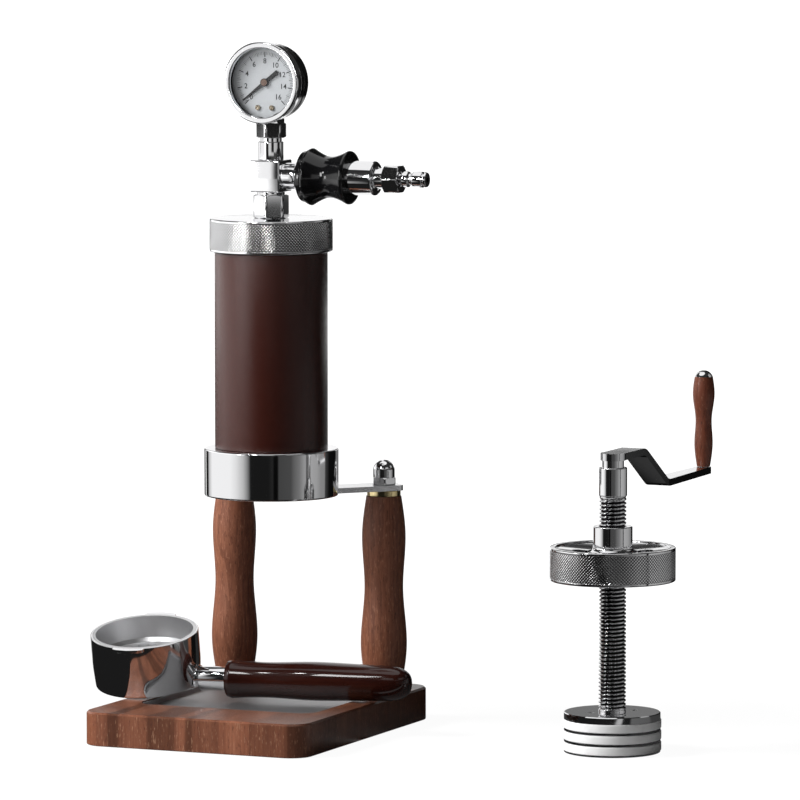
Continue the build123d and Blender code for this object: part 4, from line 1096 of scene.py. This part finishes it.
def makeCamera():
    data = bpy.data.cameras.new("camera")
    data.lens, data.sensor_width, data.clip_end = camera["lens"], 36.0, 50.0
    thing = newObject("camera", data)
    up = cameraBack.cross(cameraRight)
    place = Matrix((cameraRight, up, cameraBack)).transposed().to_4x4()
    place.translation = Vector((0, 0, camera["height"])) + cameraRight * camera["side"]
    place.translation += cameraBack * camera["away"]
    thing.matrix_world = place
    bpy.context.scene.camera = thing


# A soft box: an area lamp in a direction counted from the camera's, to the right.
def softBox(name, degrees, distance, height, width, tall, power):
    data = bpy.data.lights.new(name, "AREA")
    data.shape, data.size, data.size_y, data.energy = "RECTANGLE", width, tall, power
    thing = newObject(name, data)
    a = math.radians(degrees)
    direction = towardsCamera * math.cos(a) + cameraRight * math.sin(a)
    place = middle + direction * distance
    place.z = height
    thing.location = place
    thing.rotation_euler = (middle - place).to_track_quat("-Z", "Y").to_euler()
    thing.visible_glossy = False


# What polished surfaces see: a round wall of pale and dark cloth about the column, with an open back,
# the same cloth on the floor and a lid that is dark but for its middle. Each list goes round the
# wall: an angle from the camera's side, counted to the right, and how pale the cloth is there. The
# rows say at which distance and height each list holds; between two rows the cloth blends.
surround = {
    "r": 0.52, "high": 0.95, "skyR": 0.4, "edge": 172.0, "step": 0.5,
    "ground": [(-172, 0.01), (-152, 0.01), (-150, 0.6), (-146, 0.6), (-144, 0.012), (-36, 0.012),
        (-4, 0.01), (38, 0.012), (40, 0.45), (44, 0.45), (45, 0.012), (52, 0.012), (54, 0.12), (75, 0.1),
        (78, 0.05), (112, 0.04), (114, 0.004), (140, 0.004), (142, 0.03), (172, 0.01)],
    "low": [(-172, 1.0), (-165.5, 1.0), (-165, 0.01), (-152, 0.01), (-150, 0.8), (-146, 1.0), (-144, 0.01),
        (-134, 0.01), (-131, 0.5), (-118, 1.0), (-72, 1.0), (-60, 0.84), (-47, 0.55), (-40, 0.28),
        (-34, 0.01), (-4, 0.01), (3, 0.02), (5, 0.003), (11, 0.003), (13, 0.06), (33, 0.07), (38, 0.12),
        (48, 0.19), (57, 0.33), (60.5, 0.3), (61, 0.004), (63, 0.004), (63.5, 0.42), (82, 0.36), (92, 0.26),
        (101, 0.25), (103, 0.05), (114, 0.004), (140, 0.004), (142, 0.18), (165, 0.18), (165.5, 1.0),
        (172, 1.0)],
    "crank": [(-172, 1.0), (-165.5, 1.0), (-165, 0.01), (-152, 0.01), (-150, 0.8), (-132, 1.4), (-47, 1.2),
        (-43, 0.3), (-40, 0.03), (-20, 0.006), (-6, 0.02), (8, 0.03), (33, 0.06), (41, 0.05), (76, 0.07),
        (84, 0.05), (90, 0.03), (110, 0.01), (136, 0.01), (140, 1.0), (172, 1.0)],
    "middle": [(-172, 1.0), (-159, 1.0), (-158, 0.01), (-152, 0.01), (-150, 0.8), (-132, 1.5), (-47, 1.3),
        (-43, 0.3), (-40, 0.03), (-20, 0.006), (-6, 0.02), (8, 0.03), (33, 0.06), (41, 0.04), (76, 0.05),
        (84, 0.04), (90, 0.03), (110, 0.01), (140, 0.01), (142, 0.04), (165, 0.04), (165.5, 1.0),
        (172, 1.0)],
    "nut": [(-172, 1.0), (-159, 1.0), (-158, 0.01), (-150, 0.01), (-146, 1.0), (-45, 1.0), (-43, 0.01),
        (-22, 0.01), (-20, 0.7), (22, 0.6), (30, 0.04), (60, 0.04), (62, 0.3), (108, 0.3), (111, 0.01),
        (140, 0.01), (142, 0.1), (165, 0.1), (165.5, 1.0), (172, 1.0)],
    "top": [(-172, 1.0), (-159, 1.0), (-158, 0.01), (-150, 0.01), (-146, 1.0), (-107, 1.0), (-106, 0.01),
        (-103, 0.01), (-102, 1.0), (-45, 1.0), (-43, 0.01), (-22, 0.01), (-20, 0.75), (0, 0.6), (4, 0.5),
        (6, 0.01), (26, 0.01), (28, 0.6), (60, 0.4), (62, 0.01), (86, 0.01), (88, 0.45), (108, 0.3),
        (111, 0.01), (140, 0.01), (142, 0.65), (158, 0.65), (159, 0.01), (165, 0.01), (165.5, 1.0),
        (172, 1.0)],
    "dark": [(-172, 0.03), (172, 0.03)],
    "rows": [(0.06, 0.0003, "ground"), (0.52, 0.0003, "ground"), (0.52, 0.034, "ground"),
        (0.52, 0.045, "low"), (0.52, 0.185, "low"), (0.52, 0.205, "crank"), (0.52, 0.238, "crank"),
        (0.52, 0.246, "middle"), (0.52, 0.306, "middle"), (0.52, 0.312, "nut"), (0.52, 0.328, "nut"),
        (0.52, 0.335, "top"), (0.52, 0.47, "top"), (0.52, 0.5, "dark"), (0.52, 0.95, "dark")]}


# Level directions at angles from the camera's side, counted to the right.
def ringOf(degrees):
    a = np.radians(degrees)
    return np.outer(np.cos(a), np.array(towardsCamera)) + np.outer(np.sin(a), np.array(cameraRight))


def makeSurround():
    edge, step = surround["edge"], surround["step"]
    degrees = np.arange(-edge, edge + step, step)
    ring, count = ringOf(degrees), len(degrees)
    rows = surround["rows"]
    points = np.concatenate([ring * away + [middle.x, middle.y, z] for away, z, _ in rows])
    pale = np.concatenate([np.interp(degrees, *zip(*surround[name])) for _, _, name in rows])
    only("surround", points, gridQuads(len(rows), count, False, False), pale)
    sky = [(surround["r"], 0.015), (surround["skyR"] + 0.02, 0.015), (surround["skyR"], 1.0), (0.001, 1.0)]
    lid = np.concatenate([ring * away + [middle.x, middle.y, surround["high"]] for away, _ in sky])
    only("lid", lid, gridQuads(len(sky), count, False, False), np.repeat([level for _, level in sky], count))


# A small bright card on the wall, for a crisp highlight on lacquer and plating.
def spark(name, fromDegrees, toDegrees, low, high, level):
    columns = 12
    ring = ringOf(np.linspace(fromDegrees, toDegrees, columns))
    points = np.concatenate([ring * (surround["r"] - 0.01) + [middle.x, middle.y, z] for z in (low, high)])
    only(name, points, gridQuads(2, columns, False, False), np.full(2 * columns, level))


# A glowing surface that only mirror rays meet.
def only(name, points, quads, pale):
    mesh = bpy.data.meshes.new(name)
    mesh.from_pydata(points.tolist(), [], quads.tolist())
    tone = mesh.attributes.new("pale", "FLOAT", "POINT")
    tone.data.foreach_set("value", pale.astype(np.float32))
    thing = newObject(name, mesh)
    material = bpy.data.materials.new(name)
    material.use_nodes = True
    tree = material.node_tree
    tree.nodes.clear()
    level = tree.nodes.new("ShaderNodeAttribute")
    level.attribute_name = "pale"
    light = tree.nodes.new("ShaderNodeEmission")
    out = tree.nodes.new("ShaderNodeOutputMaterial")
    tree.links.new(level.outputs["Fac"], light.inputs["Strength"])
    tree.links.new(light.outputs[0], out.inputs["Surface"])
    mesh.materials.append(material)
    thing.visible_camera = False
    thing.visible_diffuse = False
    thing.visible_shadow = False
    thing.visible_transmission = False


# 1 for rays from the camera and for those that metal and glass send on, 0 for soft light.
def seenRays(tree):
    path = tree.nodes.new("ShaderNodeLightPath")
    total = path.outputs["Is Camera Ray"]
    for ray in ("Is Glossy Ray", "Is Transmission Ray"):
        step = tree.nodes.new("ShaderNodeMath")
        step.operation = "MAXIMUM"
        tree.links.new(total, step.inputs[0])
        tree.links.new(path.outputs[ray], step.inputs[1])
        total = step.outputs[0]
    return total


# Floor: white to the camera and to mirrors, with the rest soft, so that it still takes a shadow near
# the object. Further off it is white alone: the share grows with the distance from the middle.
def makeFloor():
    floor = {"size": 60.0, "share": 0.8, "from": 0.35, "to": 0.8, "white": (0.45, 0.45, 0.45, 1), "glow": 1.2}
    half = floor["size"] / 2
    mesh = bpy.data.meshes.new("floor")
    mesh.from_pydata([(-half, -half, 0), (half, -half, 0), (half, half, 0), (-half, half, 0)], [],
        [(0, 1, 2, 3)])
    thing = newObject("floor", mesh)
    thing.location.z = -0.0002  # just under the object's feet
    finish = Finish("floor", {"Base Color": floor["white"], "Roughness": 0.9, "Specular IOR Level": 0.0})
    tree = finish.tree
    away = finish.node("ShaderNodeVectorMath", {"operation": "LENGTH"}, {0: finish.place()}, 1)
    far = finish.node("ShaderNodeMapRange", None, {"Value": away, 1: floor["from"], 2: floor["to"],
        3: floor["share"], 4: 1.0})
    share = far * Val(finish, seenRays(tree))
    light = tree.nodes.new("ShaderNodeEmission")
    light.inputs["Strength"].default_value = floor["glow"]
    mix = tree.nodes.new("ShaderNodeMixShader")
    tree.links.new(share.socket, mix.inputs[0])
    tree.links.new(finish.shader.outputs[0], mix.inputs[1])
    tree.links.new(light.outputs[0], mix.inputs[2])
    tree.links.new(mix.outputs[0], tree.nodes["Material Output"].inputs["Surface"])
    mesh.materials.append(finish.material)


def makeWorld():
    level = {"soft": 0.025}
    world = bpy.data.worlds.new("studio")
    bpy.context.scene.world = world
    world.use_nodes = True
    tree = world.node_tree
    background = tree.nodes["Background"]
    background.inputs["Color"].default_value = (1, 1, 1, 1)
    step = tree.nodes.new("ShaderNodeMath")
    step.operation = "MULTIPLY_ADD"
    step.inputs[1].default_value = 1.0 - level["soft"]
    step.inputs[2].default_value = level["soft"]
    tree.links.new(seenRays(tree), step.inputs[0])
    tree.links.new(step.outputs[0], background.inputs["Strength"])


# Cards: the angles and the heights they go between, and how bright. Lamps: angle, distance, height,
# width, tallness and watts.
cards = {"sparkLow": (-34, -26, 0.43, 0.60, 16.0), "sparkHigh": (-46, -42, 0.585, 0.635, 55.0),
    "pane": (-58, -53, 0.31, 0.43, 14.0)}
lamps = {"key": (-80, 1.5, 1.35, 0.7, 0.7, 46.0), "window": (-62, 1.5, 0.6, 1.0, 1.0, 14.0),
    "fill": (-15, 1.8, 0.55, 1.2, 1.0, 2.2)}

print("studio")
makeCamera()
makeFloor()
makeWorld()
makeSurround()
for name, card in cards.items():
    spark(name, *card)
for name, lamp in lamps.items():
    softBox(name, *lamp)
bpy.context.scene.view_settings.view_transform = "Standard"
